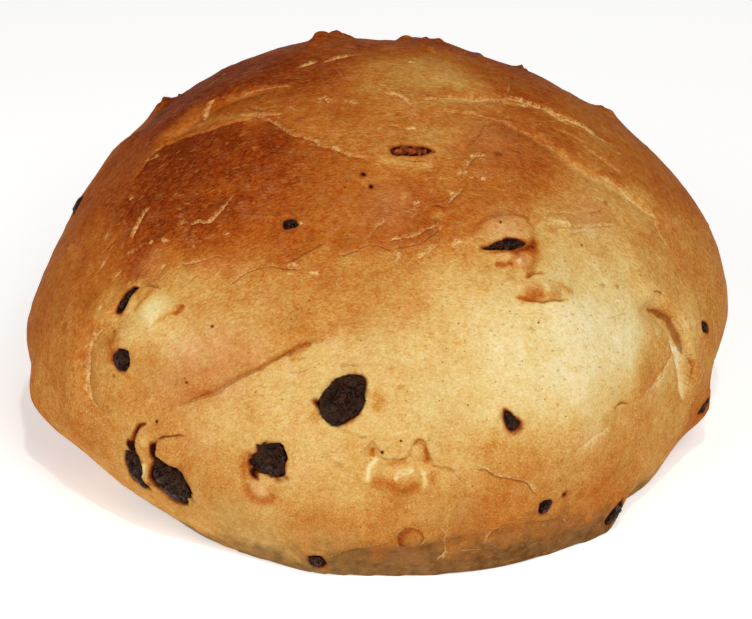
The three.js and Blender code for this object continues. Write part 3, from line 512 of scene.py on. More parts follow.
def trace(fold, points, reach=fold_reach):
    """Which points lie near a fold, how far off they are in mm, plus on its left, and its fade there."""
    ends = directions(fold["path"])
    steps = np.diff(ends, axis=0)
    lengths = np.linalg.norm(steps, axis=1) * mean_radius
    widest = (reach + lengths.max() / 2) / mean_radius
    near = np.flatnonzero((points @ ends.T).max(axis=1) > math.cos(min(widest, math.pi)))
    close = points[near]
    gap = np.full(len(near), np.inf)
    walked = np.zeros(len(near))
    side = np.zeros(len(near))
    start = 0
    for end, along, length in zip(ends, steps, lengths):
        share = np.clip((close - end) @ along / (along @ along), 0, 1)
        away = end + share[:, None] * along - close
        distance = np.linalg.norm(away, axis=1) * mean_radius
        nearer = distance < gap
        left = np.cross(close[nearer], along)
        side[nearer] = np.where(np.einsum("ij,ij->i", left, away[nearer]) < 0, 1, -1)
        walked[nearer] = start + share[nearer] * length
        gap[nearer] = distance[nearer]
        start += length
    fade = smoothstep(0, fold["taper"], np.minimum(walked, start - walked))
    return near, gap * side, fade


def fold_height(fold, gap, fade):
    """The lip of a fold on its left side and the groove along it, in mm."""
    groove = -fold["groove"] * np.exp(-((gap / fold["width"]) ** 2))
    ratio = np.maximum(gap, 0) / fold["crest"]
    return fade * (fold["lift"] * ratio * np.exp(1 - ratio) + groove)


# The swirls are drawn at random, from the clock unless they have a seed
swirl_seed = 7
noise.seed_set(swirl_seed)


def wander(points, size, amount):
    """Moves directions about by up to the amount, in swirls of the size, so that no tear runs straight."""
    shifts = [noise.noise_vector(Vector(point) * (mean_radius / size)) for point in points]
    moved = points + np.array(shifts) * (amount / mean_radius)
    return moved / np.linalg.norm(moved, axis=1, keepdims=True)


def ragged(points):
    """Directions moved about twice, in swirls of 9 mm and of 2.4 mm."""
    return wander(wander(points, 9, 0.8), 2.4, 0.35)


def points_of(mesh):
    """The places of the points of a mesh, one to a row."""
    places = np.empty(3 * len(mesh.vertices))
    mesh.vertices.foreach_get("co", places)
    return places.reshape(-1, 3)


def face_middles(mesh):
    """The directions of the middles of the triangles."""
    corners = np.empty(len(mesh.loops), int)
    mesh.loops.foreach_get("vertex_index", corners)
    middles = points_of(mesh)[corners.reshape(-1, 3)].mean(axis=1)
    return middles / np.linalg.norm(middles, axis=1, keepdims=True)


def select_only(piece):
    bpy.ops.object.select_all(action="DESELECT")
    piece.select_set(True)
    bpy.context.view_layer.objects.active = piece


def cut_finer(piece, wanted):
    """Halves the edges of the faces that are wanted, and cuts the faces beside them to fit."""
    bpy.ops.object.mode_set(mode="EDIT")
    bpy.ops.mesh.select_mode(type="FACE")
    bpy.ops.mesh.select_all(action="DESELECT")
    bpy.ops.object.mode_set(mode="OBJECT")
    piece.data.polygons.foreach_set("select", wanted)
    bpy.ops.object.mode_set(mode="EDIT")
    bpy.ops.mesh.subdivide(number_cuts=1, ngon=False)
    bpy.ops.mesh.select_all(action="SELECT")
    bpy.ops.mesh.quads_convert_to_tris()
    bpy.ops.object.mode_set(mode="OBJECT")


raisin_names = sorted(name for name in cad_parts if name.startswith("raisin"))
raisin_places = {}
for name in raisin_names:
    low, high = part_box(name)
    middle = np.array((low + high) / 2) / metres_per_mm - heart
    raisin_places[name] = (middle / np.linalg.norm(middle), (high - low).length / 2 / metres_per_mm)

foot_elevation = -21
camera_elevation = 29
seen_from = directions([0, camera_elevation])[0]
seen_margin = 0.24
tear_middle = 0.4
tear_margin = 0.95
narrow_stroke = 1.5
dimple_share = 1.5
spot_margin = 0.6
raisin_share = 0.55
raisin_margin = 1.2


def near_detail(points):
    """Which points lie by a tear, a narrow stroke, a dimple, a spot or a raisin."""
    found = np.zeros(len(points), bool)
    shifted = ragged(points)
    for fold in tears:
        near, gap, fade = trace(fold, shifted, reach=6)
        found[near] |= (np.abs(gap - tear_middle) < tear_margin) & (fade > 0)
    for path, amount, half in strokes + smears_and_shadows:
        near, gap, fade = trace({"path": path, "taper": half}, shifted, reach=4)
        found[near] |= (np.abs(gap) < half) & (half < narrow_stroke)
    for place, height, wide in dimples:
        found |= gap_to(place, points) < dimple_share * wide
    for place, strong, wide in spots:
        found |= gap_to(place, shifted) < wide + spot_margin
    for middle, half in raisin_places.values():
        off = np.linalg.norm(points - middle, axis=1) * mean_radius
        found |= off < raisin_share * half + raisin_margin
    return found


select_only(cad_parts["loaf"])
sphere_cuts = 6
bpy.ops.mesh.primitive_ico_sphere_add(subdivisions=sphere_cuts, radius=1)
loaf = bpy.context.object
loaf.name = "loaf_crust"
cut_finer(loaf, face_middles(loaf.data)[:, 2] > math.sin(math.radians(foot_elevation)))
middles = face_middles(loaf.data)
on_seen_side = middles @ seen_from > seen_margin
cut_finer(loaf, on_seen_side & (middles[:, 2] > math.sin(math.radians(foot_elevation + 1))))
cut_finer(loaf, near_detail(face_middles(loaf.data)))

rays = points_of(loaf.data)
rays /= np.linalg.norm(rays, axis=1, keepdims=True)
radius = body_radius(rays)
for place, high, wide in swells + dimples:
    radius += high * bell(place, rays, wide)
for fold in folds:
    near, gap, fade = trace(fold, rays)
    radius[near] += fold_height(fold, gap, fade)

# Tears: their relief, how browned each side is, and for the pattern of the crust how far off the next
# tear is and how wide its pale and its dark line are, in mm. The pale line carries a painted highlight
# and the dark line a painted shadow.
torn_rays = ragged(rays)
line_start_fading = 1.6
line_gone = 3.0
crumb_offset = 0.3
crumb_strength = 0.5
browner = np.zeros(len(rays))
crumbs = np.zeros(len(rays))
tear_gap = np.full(len(rays), line_gone)
line_half = np.zeros(len(rays))
mark_half = np.zeros(len(rays))
for fold in folds + tears + hairlines:
    near, gap, fade = trace(fold, torn_rays)
    if fold in tears:
        radius[near] += fold_height(fold, gap, fade)
    jump = np.sign(gap) * np.exp(-np.abs(gap) / fold["spread"])
    browner[near] += fold["browner"] / 2 * fade * jump
    torn = np.exp(-(((gap - crumb_offset) / (4 * fold["line"])) ** 2))
    crumbs[near] = np.maximum(crumbs[near], crumb_strength * fold["pale"] * fade * torn)
    if fold["pale"] or fold["dark"]:
        first = (np.abs(gap) < np.abs(tear_gap[near])) & (fade > 0)
        chosen = near[first]
        window = 1 - smoothstep(line_start_fading, line_gone, np.abs(gap[first]))
        tear_gap[chosen] = gap[first]
        line_half[chosen] = fold["pale"] * fold["line"] * fade[first] * window
        mark_half[chosen] = fold["dark"] * fold["mark"] * fade[first] * window

for path, amount, half in strokes:
    near, gap, fade = trace({"path": path, "taper": half}, torn_rays)
    browner[near] += amount * fade * np.exp(-((gap / half) ** 2))

# Pockets: the skin dips where it meets each raisin, with a low lip round it, and syrup stains its edge.
# The skin covers the edge of a raisin unevenly, and lies over most of the flat ones.
pocket_depth = 1.9
pocket_reach = 8
pocket_edge = (-0.2, 0.5)
pocket_lip = 0.35
lip_offset = 1.7
lip_width = 0.9
stain_reach = 0.34
stain_noise_shift = Vector((7, 0, 0))
usual_unrest = 0.5
edge_unrest = {"raisin_02": 1.2, "raisin_03": 0.9, "raisin_04": 0.9}
half_covered = {
    "raisin_06": 0.7, "raisin_07": 0.9, "raisin_08": 0.25, "raisin_09": 0.7, "raisin_10": 0.2,
    "raisin_11": 0.5, "raisin_12": 0.9, "raisin_13": 0.2, "raisin_14": 0.3, "raisin_15": 0.9,
    "raisin_16": 0.6, "raisin_18": 0.5, "raisin_20": 0.4, "raisin_23": 0.5, "raisin_25": 0.4,
    "raisin_27": 0.3, "raisin_28": 0.4,
}
covered_edge = {"raisin_01": 0.6, "raisin_05": 0.2}
stain_and_shadow = np.zeros(len(rays))
for name in raisin_names:
    middle, half = raisin_places[name]
    near = np.flatnonzero(np.linalg.norm(rays - middle, axis=1) * mean_radius < half + pocket_reach)
    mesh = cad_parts[name].data
    corners = [tuple(face.vertices) for face in mesh.polygons]
    solid = BVHTree.FromPolygons([vertex.co for vertex in mesh.vertices], corners)
    low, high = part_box(name)
    for i in near:
        spot = Vector((heart + rays[i] * radius[i]) * metres_per_mm)
        foot, normal, face, distance = solid.find_nearest(spot)
        outside = (spot - foot).dot(foot - (low + high) / 2) > 0
        ray = Vector(rays[i])
        unrest = noise.noise(ray * (mean_radius / 4)) + 0.3 * noise.noise(ray * (mean_radius / 1.4))
        gap = distance / metres_per_mm * (1 if outside else -1)
        gap = gap + edge_unrest.get(name, usual_unrest) * unrest + covered_edge.get(name, 0)
        radius[i] -= half_covered.get(name, pocket_depth) * (1 - smoothstep(*pocket_edge, gap))
        radius[i] += pocket_lip * math.exp(-(((gap - lip_offset) / lip_width) ** 2))
        soaked = max(noise.noise(ray * (mean_radius / 6) + stain_noise_shift), -0.3)
        stain_and_shadow[i] = max(stain_and_shadow[i], math.exp(-max(gap, 0) / (stain_reach * (1 + 2 * soaked))))

# The flat base, where the dough lay on the sheet
just_below_waist = -0.05
down = rays[:, 2] < just_below_waist
radius[down] = np.minimum(radius[down], waist_height / -rays[down, 2])
places = heart + rays * radius[:, None]
places[:, 2] = np.maximum(places[:, 2], 0)
loaf.data.vertices.foreach_set("co", (places * metres_per_mm).ravel())
loaf.data.update()

# Unevenness of the dough and of its skin, left off the flat base
above_sheet = loaf.vertex_groups.new(name="above_sheet")
steps = 8
relief_heights = (0.3, 5)
strength = np.round(smoothstep(*relief_heights, places[:, 2]) * steps).astype(int)
for step in range(1, steps + 1):
    above_sheet.add(np.flatnonzero(strength == step).tolist(), step / steps, "REPLACE")
skin_reliefs = [("dough_lumps", 13, 0.8), ("skin_waves", 4.5, 0.35), ("skin_wrinkles", 1.7, 0.14)]
for label, size, height in skin_reliefs:
    relief = bpy.data.textures.new(label, "CLOUDS")
    relief.noise_scale = size * metres_per_mm
    relief.noise_depth = 1
    displace = loaf.modifiers.new(label, "DISPLACE")
    displace.texture = relief
    displace.texture_coords = "LOCAL"
    displace.vertex_group = "above_sheet"
    displace.strength = height * metres_per_mm
    select_only(loaf)
    bpy.ops.object.modifier_apply(modifier=label)
sharp_edge = math.radians(50)
bpy.ops.object.shade_smooth_by_angle(angle=sharp_edge)

# Browning of the crust, from 0, pale dough, to 1, almost burnt: direction, level and reach in mm
browned = [
    ([-60, 43], 0.94, 11), ([-46, 44], 0.82, 12), ([-30, 52], 0.82, 12), ([-52, 55], 0.9, 11),
    ([-66, 64], 0.45, 4), ([-84, 53], 0.5, 4), ([-48, 70.5], 0.7, 6), ([-30, 67], 0.55, 5),
    ([-12, 54], 0.62, 9), ([-76, 59], 0.72, 8), ([-98, 55], 0.92, 14), ([-92, 71], 0.85, 12),
    ([-30, 72], 0.7, 11), ([20, 76], 0.56, 13), ([75, 78], 0.44, 12), ([10, 65], 0.58, 10),
    ([15, 63], 0.6, 2.5), ([26, 64.5], 0.32, 4.5), ([5, 62], 0.46, 4), ([88, 74], 0.33, 6),
    ([45, 66], 0.66, 9), ([95, 66], 0.78, 11), ([87, 53], 0.72, 4), ([88, 44], 0.62, 11),
    ([76, 43], 0.6, 5), ([73, 32], 0.44, 4), ([60, 52], 0.73, 12), ([30, 55], 0.62, 9), ([10, 48], 0.78, 9),
    ([35, 48], 0.5, 6), ([26, 47], 0.74, 4), ([32, 42], 0.43, 5), ([62, 42], 0.4, 8), ([72, 25], 0.6, 5),
    ([55, 35], 0.44, 5), ([46, 42.5], 0.34, 4), ([36, 51], 0.8, 5), ([-20, 40], 0.62, 10),
    ([4, 40], 0.6, 8), ([14, 36], 0.28, 5), ([24, 38], 0.58, 4), ([-78, 35], 0.8, 10), ([-66, 24], 0.65, 9),
    ([-80, 10], 0.66, 12), ([-60, 6], 0.54, 9), ([-43, 23.4], 0.06, 2), ([-42, 25.4], 0.1, 2),
    ([-37.5, 20.8], 0.24, 3), ([-47, 21], 0.4, 2.5), ([-52, 21.5], 0.42, 3), ([-42, 29], 0.4, 5),
    ([-48, 32], 0.62, 3), ([-32, 22], 0.36, 7), ([-18, 31], 0.46, 8), ([-28, 29], 0.4, 5),
    ([-34, 31], 0.46, 7), ([-30, 15], 0.52, 6), ([-26, 20], 0.54, 4), ([-4, 31.5], 0.56, 4.5),
    ([4, 32], 0.42, 8), ([26, 35], 0.36, 8), ([50, 30], 0.33, 8), ([26, 24], 0.16, 9), ([46, 20], 0.1, 9),
    ([4, 22], 0.32, 9), ([-14, 16], 0.36, 9), ([-42, 10], 0.5, 7), ([-51, 6], 0.46, 4),
    ([-51, -1], 0.57, 4), ([-45, 20], 0.3, 3), ([-22, 25.7], 0.36, 4), ([32, 12], 0.12, 9),
    ([41, 11], 0.27, 6), ([32, 8], 0.32, 4), ([30, 4.5], 0.52, 5), ([14, 14], 0.27, 9), ([-30, 2], 0.5, 9),
    ([-23, -4], 0.46, 5), ([-25, 9], 0.36, 5), ([-6, 4], 0.36, 8), ([12, 6], 0.42, 7), ([28, 4], 0.48, 8),
    ([44, 2], 0.5, 8), ([20, 6], 0.54, 4), ([57, 10], 0.44, 6), ([52, 9.5], 0.55, 3.5), ([66, 22], 0.46, 9),
    ([59, 21], 0.28, 4), ([66, 12], 0.26, 4.5), ([80, 10], 0.52, 12), ([60, -6], 0.46, 9),
    ([70, -7], 0.66, 5), ([-20, -8], 0.43, 9), ([-9, -7], 0.58, 5), ([1, -3], 0.5, 7),
    ([2, -7.5], 0.64, 4.5), ([20, -5], 0.6, 9), ([40, -10], 0.6, 8), ([-45, -8], 0.45, 9),
    ([110, 25], 0.7, 18), ([112, -4], 0.5, 14), ([150, 45], 0.86, 16), ([145, 10], 0.55, 18),
    ([-170, 70], 0.78, 14), ([-175, 30], 0.76, 18), ([175, -5], 0.45, 16), ([-140, 45], 0.9, 16),
    ([-140, 12], 0.58, 18), ([-112, 20], 0.66, 14), ([-125, -8], 0.48, 14),
]
far_weight = 1e-9
far_level = 0.6
weight_sum = np.full(len(rays), far_weight)
level_sum = np.full(len(rays), far_level * far_weight)
for place, level, reach in browned:
    weight = bell(place, rays, reach)
    weight_sum += weight
    level_sum += weight * level
browning = level_sum / weight_sum + browner

# Grey-brown band round the foot, where the skin was pressed and floured by the sheet, its darkness
# partly painted shade under the curve of the loaf: its height in mm all round from the front, made
# uneven by broad and narrow waves
rim_heights = [12.5, 12.5, 13, 6, 2.5, 2, 2.5, 3, 3.5, 4, 4, 3, 3, 4, 3, 3, 4, 3, 3, 2.5, 2, 2, 2.5, 7]
azimuths = np.degrees(np.arctan2(torn_rays[:, 0], -torn_rays[:, 1]))
rim_edge = ring(rim_heights, azimuths)
rim_waves = np.zeros(len(rays))
for scale, height in [(22, 6), (60, 3.6)]:
    rim_waves += [height * noise.noise(Vector(ray) * scale) for ray in rays]
rim_and_shade = 1 - smoothstep(0.4 * rim_edge - 2, rim_edge + 7, places[:, 2] + rim_waves)


def fading_round(listed):
    """The strongest of the listed places at each point, each fading with distance."""
    values = np.zeros(len(rays))
    for place, strong, wide in listed:
        values = np.maximum(values, strong * bell(place, torn_rays, wide))
    return values


# the smears, and the one painted shadow among them, join the syrup stains
for path, strong, half in smears_and_shadows:
    near, gap, fade = trace({"path": path, "taper": 3 * half}, torn_rays)
    stain_and_shadow[near] = np.maximum(stain_and_shadow[near], strong * fade * np.exp(-((gap / half) ** 2)))
stain_and_shadow = np.maximum(stain_and_shadow, fading_round(spots))

# Parts of the skin that are rosier, and parts that are more sallow: direction, strength and reach in mm
rosy_places = [
    ([-33.3, 18.4], 0.8, 5), ([-28.6, 21.5], 0.8, 5), ([-27, 17.2], 0.6, 5), ([-36, 13.4], 0.5, 5),
    ([-23, 22], 0.6, 4), ([32, 35.8], 1, 1.4), ([32, 42.6], 0.7, 4), ([-18.7, -1.2], 0.8, 2.2),
    ([-30.5, 6], 0.4, 4), ([57, 38], 0.5, 5), ([4, 50], 0.4, 6), ([50, 60], 0.3, 8), ([52, 6.5], 0.5, 2.5),
    ([37, 4], 0.5, 3), ([-50, 30], 0.4, 3),
]
sallow_places = [
    ([-33.6, -4.9], 0.6, 6), ([-24.9, -8.8], 0.7, 6), ([-19.7, -10.8], 0.7, 6), ([-8, -9], 0.5, 5),
    ([10, 16], 0.3, 7), ([26, 31.5], 0.4, 3), ([0, 26], 0.3, 7), ([12, -4], 0.4, 6), ([30, -3], 0.3, 6),
]
point_values = {
    "browning": browning, "crumbs": crumbs, "tear_gap": tear_gap, "line_half": line_half,
    "mark_half": mark_half, "stain_and_shadow": stain_and_shadow, "rim_and_shade": rim_and_shade, "rosy": fading_round(rosy_places),
    "sallow": fading_round(sallow_places),
}
for label, values in point_values.items():
    loaf.data.attributes.new(label, "FLOAT", "POINT").data.foreach_set("value", values)


# Bread crust: sweet dough, washed with egg and baked. The sugar in the skin browned from straw to
# mahogany in fine grain, in arcs over the loaf where the skin stretched. It looks nearly matt, with
# pores, and with pale dough, flakes and dark edges where it tore. The pale tears, flakes and ticks also
# carry painted highlights and glints, and the dark edges painted shadow.
def colour(code):
    """An sRGB hex colour as linear red, green, blue and alpha."""
    parts = [int(code[i:i + 2], 16) / 255 for i in (1, 3, 5)]
    return [part / 12.92 if part <= 0.04045 else ((part + 0.055) / 1.055) ** 2.4 for part in parts] + [1]


def add(tree, kind, links=None, out=0, **settings):
    """Adds a node with its settings, sets or links its inputs by name or number, and returns an output."""
    node = tree.nodes.new("ShaderNode" + kind)
    for name, value in settings.items():
        setattr(node, name, value)
    for key, value in (links or {}).items():
        live = [socket for socket in node.inputs if socket.enabled]
        socket = live[key] if isinstance(key, int) else next(s for s in live if s.name == key)
        if isinstance(value, bpy.types.NodeSocket):
            tree.links.new(value, socket)
        else:
            socket.default_value = value
    outputs = [socket for socket in node.outputs if socket.enabled]
    return outputs[out] if outputs else None


def new_material(name):
    """An empty material, its node tree and the place on the piece in metres."""
    material = bpy.data.materials.new(name)
    material.use_nodes = True
    tree = material.node_tree
    tree.nodes.clear()
    return material, tree, add(tree, "TexCoord", out=3)


mm_per_metre = 1000
crust, tree, object_place = new_material("bread crust, egg-washed and baked")
in_mm = add(tree, "VectorMath", {0: object_place, "Scale": mm_per_metre}, operation="SCALE")
marks = {label: add(tree, "Attribute", out=2, attribute_name=label) for label in point_values}

# The skin stretched in arcs over the loaf: a place as length along its arc, depth and height of the arc
arc_centre_depth = 25.0
usual_arc_radius = 60.0
apart = add(tree, "SeparateXYZ", {0: in_mm}).node.outputs
arc_height = add(tree, "Math", {0: apart["Z"], 1: arc_centre_depth}, operation="ADD")
arc_turn = add(tree, "Math", {0: arc_height, 1: apart["X"]}, operation="ARCTAN2")
arc_length = add(tree, "Math", {0: arc_turn, 1: usual_arc_radius}, operation="MULTIPLY")
arc_radius = add(tree, "Math", {0: apart["X"], 1: 2.0}, operation="POWER")
arc_radius = add(tree, "Math", {0: arc_height, 1: arc_height, 2: arc_radius}, operation="MULTIPLY_ADD")
arc_radius = add(tree, "Math", {0: arc_radius}, operation="SQRT")
flow_place = add(tree, "CombineXYZ", {0: arc_length, 1: apart["Y"], 2: arc_radius})

# Uneven browning: patches of 9 mm, mottles of 2.4 mm, streaks of 1.1 mm and grain of 0.55 mm
blotch = add(tree, "TexNoise", {"Vector": in_mm, "Scale": 1 / 9, "Detail": 3})
mottle = add(tree, "TexNoise", {"Vector": in_mm, "Scale": 1 / 2.4, "Detail": 2})
grain = add(tree, "TexNoise", {"Vector": flow_place, "Scale": 1 / 0.55, "Detail": 3, "Roughness": 0.8})
streaks = add(tree, "TexNoise", {"Vector": flow_place, "Scale": 1 / 1.1, "Detail": 3})
unrest = 0.0
for pattern, amount in [(blotch, 0.28), (mottle, 0.24), (grain, 0.68), (streaks, 0.16)]:
    centred = add(tree, "Math", {0: pattern, 1: 0.5}, operation="SUBTRACT")
    unrest = add(tree, "Math", {0: centred, 1: amount, 2: unrest}, operation="MULTIPLY_ADD")
uneven = add(tree, "Math", {0: marks["browning"], 1: 0.3, 2: 0.68}, operation="MULTIPLY_ADD")
level = add(tree, "Math", {0: unrest, 1: uneven, 2: marks["browning"]}, operation="MULTIPLY_ADD")
pale_level = add(tree, "Math", {0: level, 1: 0.8}, operation="MULTIPLY")

# Colours by how far the dough has browned: the usual skin, its rosier and its more sallow parts, and the
# torn dough
browned_colours = {
    "usual": (level, [(0, "#eedfba"), (0.15, "#e4cd90"), (0.3, "#d9b268"), (0.45, "#c99046"),
                      (0.6, "#b86a25"), (0.75, "#a54e14"), (0.9, "#87320c"), (1, "#6a2608")]),
    "rosy": (level, [(0, "#f2d8b0"), (0.45, "#d6975c"), (1, "#8a3c1c")]),
    "sallow": (level, [(0, "#ece0ac"), (0.45, "#bf9854"), (1, "#683410")]),
    "torn": (pale_level, [(0, "#fce7a6"), (1, "#efb255")]),
}
tints = {}
for label, (factor, stops) in browned_colours.items():
    tints[label] = add(tree, "ValToRGB", {0: factor})
    ramp = tints[label].node.color_ramp
    ramp.elements.remove(ramp.elements[1])
    ramp.elements[0].color = colour(stops[0][1])
    for stop, code in stops[1:]:
        ramp.elements.new(stop).color = colour(code)

tinges = add(tree, "TexNoise", {"Vector": in_mm, "Scale": 1 / 5.5, "Detail": 4, "Roughness": 0.6})
base = tints["usual"]
for label, low, high, most in [("rosy", 0.52, 0.72, 0.4), ("sallow", 0.48, 0.32, 0.3)]:
    share = add(tree, "MapRange", {"Value": tinges, "From Min": low, "From Max": high, "To Max": most})
    share = add(tree, "Math", {0: share, 1: marks[label]}, operation="MAXIMUM")
    base = add(tree, "Mix", {"Factor": share, "A": base, "B": tints[label]}, data_type="RGBA")

# Band round the foot: greyer and darker, partly painted shade under the curve, in patches and mottles
rim_mix = add(tree, "Math", {0: blotch, 1: mottle}, operation="ADD")
rim_mix = add(tree, "MapRange", {"Value": rim_mix, "From Min": 0.75, "From Max": 1.3})
rim_tint_and_shade = add(tree, "Mix", {"Factor": rim_mix, "A": colour("#422c18"), "B": colour("#8c6c44")},
               data_type="RGBA")
rim_and_shade_share = add(tree, "Math", {0: marks["rim_and_shade"], 1: 0.8}, operation="MULTIPLY")
base = add(tree, "Mix", {"Factor": rim_and_shade_share, "A": base, "B": rim_tint_and_shade}, data_type="RGBA")

# Pale flakes: along tears, pale dough with a painted highlight on the lips, and short ticks where the
# browned skin has stretched, which are partly painted glints
flakes = add(tree, "TexNoise", {"Vector": in_mm, "Scale": 1 / 1.1, "Detail": 4, "Roughness": 0.8})
flakes = add(tree, "MapRange", {"Value": flakes, "From Min": 0.38, "From Max": 0.62})
stretches = add(tree, "TexNoise", {"Vector": in_mm, "Scale": 1 / 6, "Detail": 1})
stretches = add(tree, "MapRange", {"Value": stretches, "From Min": 0.36, "From Max": 0.56, "To Min": 0.45})
fray = add(tree, "TexNoise", {"Vector": in_mm, "Scale": 1 / 0.8, "Detail": 3, "Roughness": 0.7})
fray = add(tree, "Math", {0: fray, 1: 0.5}, operation="SUBTRACT")
frayed_gap = add(tree, "Math", {0: fray, 1: 0.8, 2: marks["tear_gap"]}, operation="MULTIPLY_ADD")


def line_share(offset, half, softness):
    """How much of a line of a half width covers a place, at an offset from the tear, all in mm."""
    off = add(tree, "Math", {0: frayed_gap, 1: offset}, operation="SUBTRACT")
    off = add(tree, "Math", {0: off}, operation="ABSOLUTE")
    inside = add(tree, "Math", {0: half, 1: off}, operation="SUBTRACT")
    return add(tree, "MapRange", {"Value": inside, "From Min": -softness, "From Max": softness})


# pale line: the pale dough in the tear, and a painted highlight on its lip
pale_line_and_highlight = line_share(0.1, marks["line_half"], 0.09)
line_known = add(tree, "MapRange", {"Value": marks["line_half"], "From Min": 0.02, "From Max": 0.14})
line_fill = add(tree, "Math", {0: flakes, 1: 0.65, 2: 0.2}, operation="MULTIPLY_ADD")
for share in (line_known, line_fill, stretches):
    pale_line_and_highlight = add(tree, "Math", {0: pale_line_and_highlight, 1: share}, operation="MULTIPLY")
crumb_share = marks["crumbs"]
for share in (flakes, stretches):
    crumb_share = add(tree, "Math", {0: crumb_share, 1: share}, operation="MULTIPLY")
crumb_share = add(tree, "MapRange", {"Value": crumb_share, "From Min": 0.12, "From Max": 0.5, "To Max": 0.8})
# short pale ticks of stretched skin, partly painted glints
ticks_and_glints = add(tree, "TexNoise", {"Vector": flow_place, "Scale": 1 / 0.7, "Detail": 2})
ticks_and_glints = add(tree, "MapRange", {"Value": ticks_and_glints, "From Min": 0.65, "From Max": 0.7, "To Max": 0.18})
for share in (marks["browning"], stretches):
    ticks_and_glints = add(tree, "Math", {0: ticks_and_glints, 1: share}, operation="MULTIPLY")
pale_and_highlight_share = pale_line_and_highlight
for share in (crumb_share, ticks_and_glints):
    pale_and_highlight_share = add(tree, "Math", {0: pale_and_highlight_share, 1: share}, operation="MAXIMUM")
base = add(tree, "Mix", {"Factor": pale_and_highlight_share, "A": base, "B": tints["torn"]}, data_type="RGBA")

# Pores and small ochre dashes of the pale dough, dark edges of folds with painted shadow beside their
# lips, and syrup from the raisins, in one place a painted shadow beside a raisin
pores = add(tree, "TexVoronoi", {"Vector": in_mm, "Scale": 1 / 2.3}).node.outputs
pores = add(tree, "Math", {0: pores["Distance"], 1: pores["Color"]}, operation="DIVIDE")
pores = add(tree, "MapRange", {"Value": pores, "From Min": 0.17, "From Max": 0.1, "To Max": 0.7})
dash_lean = math.radians(-8)
dash_place = add(tree, "Mapping", {"Vector": in_mm, "Rotation": (0, dash_lean, 0), "Scale": (3, 1, 1)},
                 vector_type="TEXTURE")
dashes = add(tree, "TexNoise", {"Vector": dash_place, "Scale": 1 / 1.2, "Detail": 3})
dashes = add(tree, "MapRange", {"Value": dashes, "From Min": 0.63, "From Max": 0.69, "To Max": 0.5})
# dark line beside the tear: partly a browned edge, partly painted shadow
dark_line_and_shadow = line_share(-0.3, marks["mark_half"], 0.12)
dark_known = add(tree, "MapRange",
                 {"Value": marks["mark_half"], "From Min": 0.02, "From Max": 0.14, "To Max": 0.6})
dark_line_and_shadow = add(tree, "Math", {0: dark_line_and_shadow, 1: dark_known}, operation="MULTIPLY")
syrup_and_shadow = add(tree, "Math", {0: mottle, 1: 0.6}, operation="ADD")
syrup_and_shadow = add(tree, "Math", {0: syrup_and_shadow, 1: marks["stain_and_shadow"]}, operation="MULTIPLY")
thin_syrup_and_shadow = add(tree, "MapRange", {"Value": syrup_and_shadow, "From Min": 0.1, "From Max": 0.5})
thick_syrup = add(tree, "MapRange", {"Value": syrup_and_shadow, "From Min": 0.5, "From Max": 0.9})
for share, code in [(pores, "#74400f"), (dashes, "#b87c34"), (dark_line_and_shadow, "#762f0c"), (thin_syrup_and_shadow, "#9a501e"),
                    (thick_syrup, "#32110a")]:
    base = add(tree, "Mix", {"Factor": share, "A": base, "B": colour(code)}, data_type="RGBA")

satin = add(tree, "MapRange",
            {"Value": marks["browning"], "From Min": 0.2, "From Max": 0.8, "To Min": 0.52, "To Max": 0.36})
satin = add(tree, "Math", {0: mottle, 1: 0.12, 2: satin}, operation="MULTIPLY_ADD")
relief = mottle
for pattern, amount in [(grain, 0.9), (streaks, 0.5), (pale_and_highlight_share, 0.6)]:
    relief = add(tree, "Math", {0: pattern, 1: amount, 2: relief}, operation="MULTIPLY_ADD")
lip = add(tree, "MapRange", {"Value": frayed_gap, "From Min": -0.3, "From Max": 0.1, "To Max": 1.4})
relief = add(tree, "Math", {0: lip, 1: marks["line_half"], 2: relief}, operation="MULTIPLY_ADD")
bump = add(tree, "Bump", {"Strength": 0.8, "Distance": 0.28 * metres_per_mm, "Height": relief})
surface = add(tree, "BsdfPrincipled", {"Base Color": base, "Roughness": satin, "Normal": bump, "IOR": 1.45,
                                       "Specular IOR Level": 0.004})
add(tree, "OutputMaterial", {"Surface": surface})
loaf.data.materials.clear()
loaf.data.materials.append(crust)
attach(loaf, "root")
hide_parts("loaf")

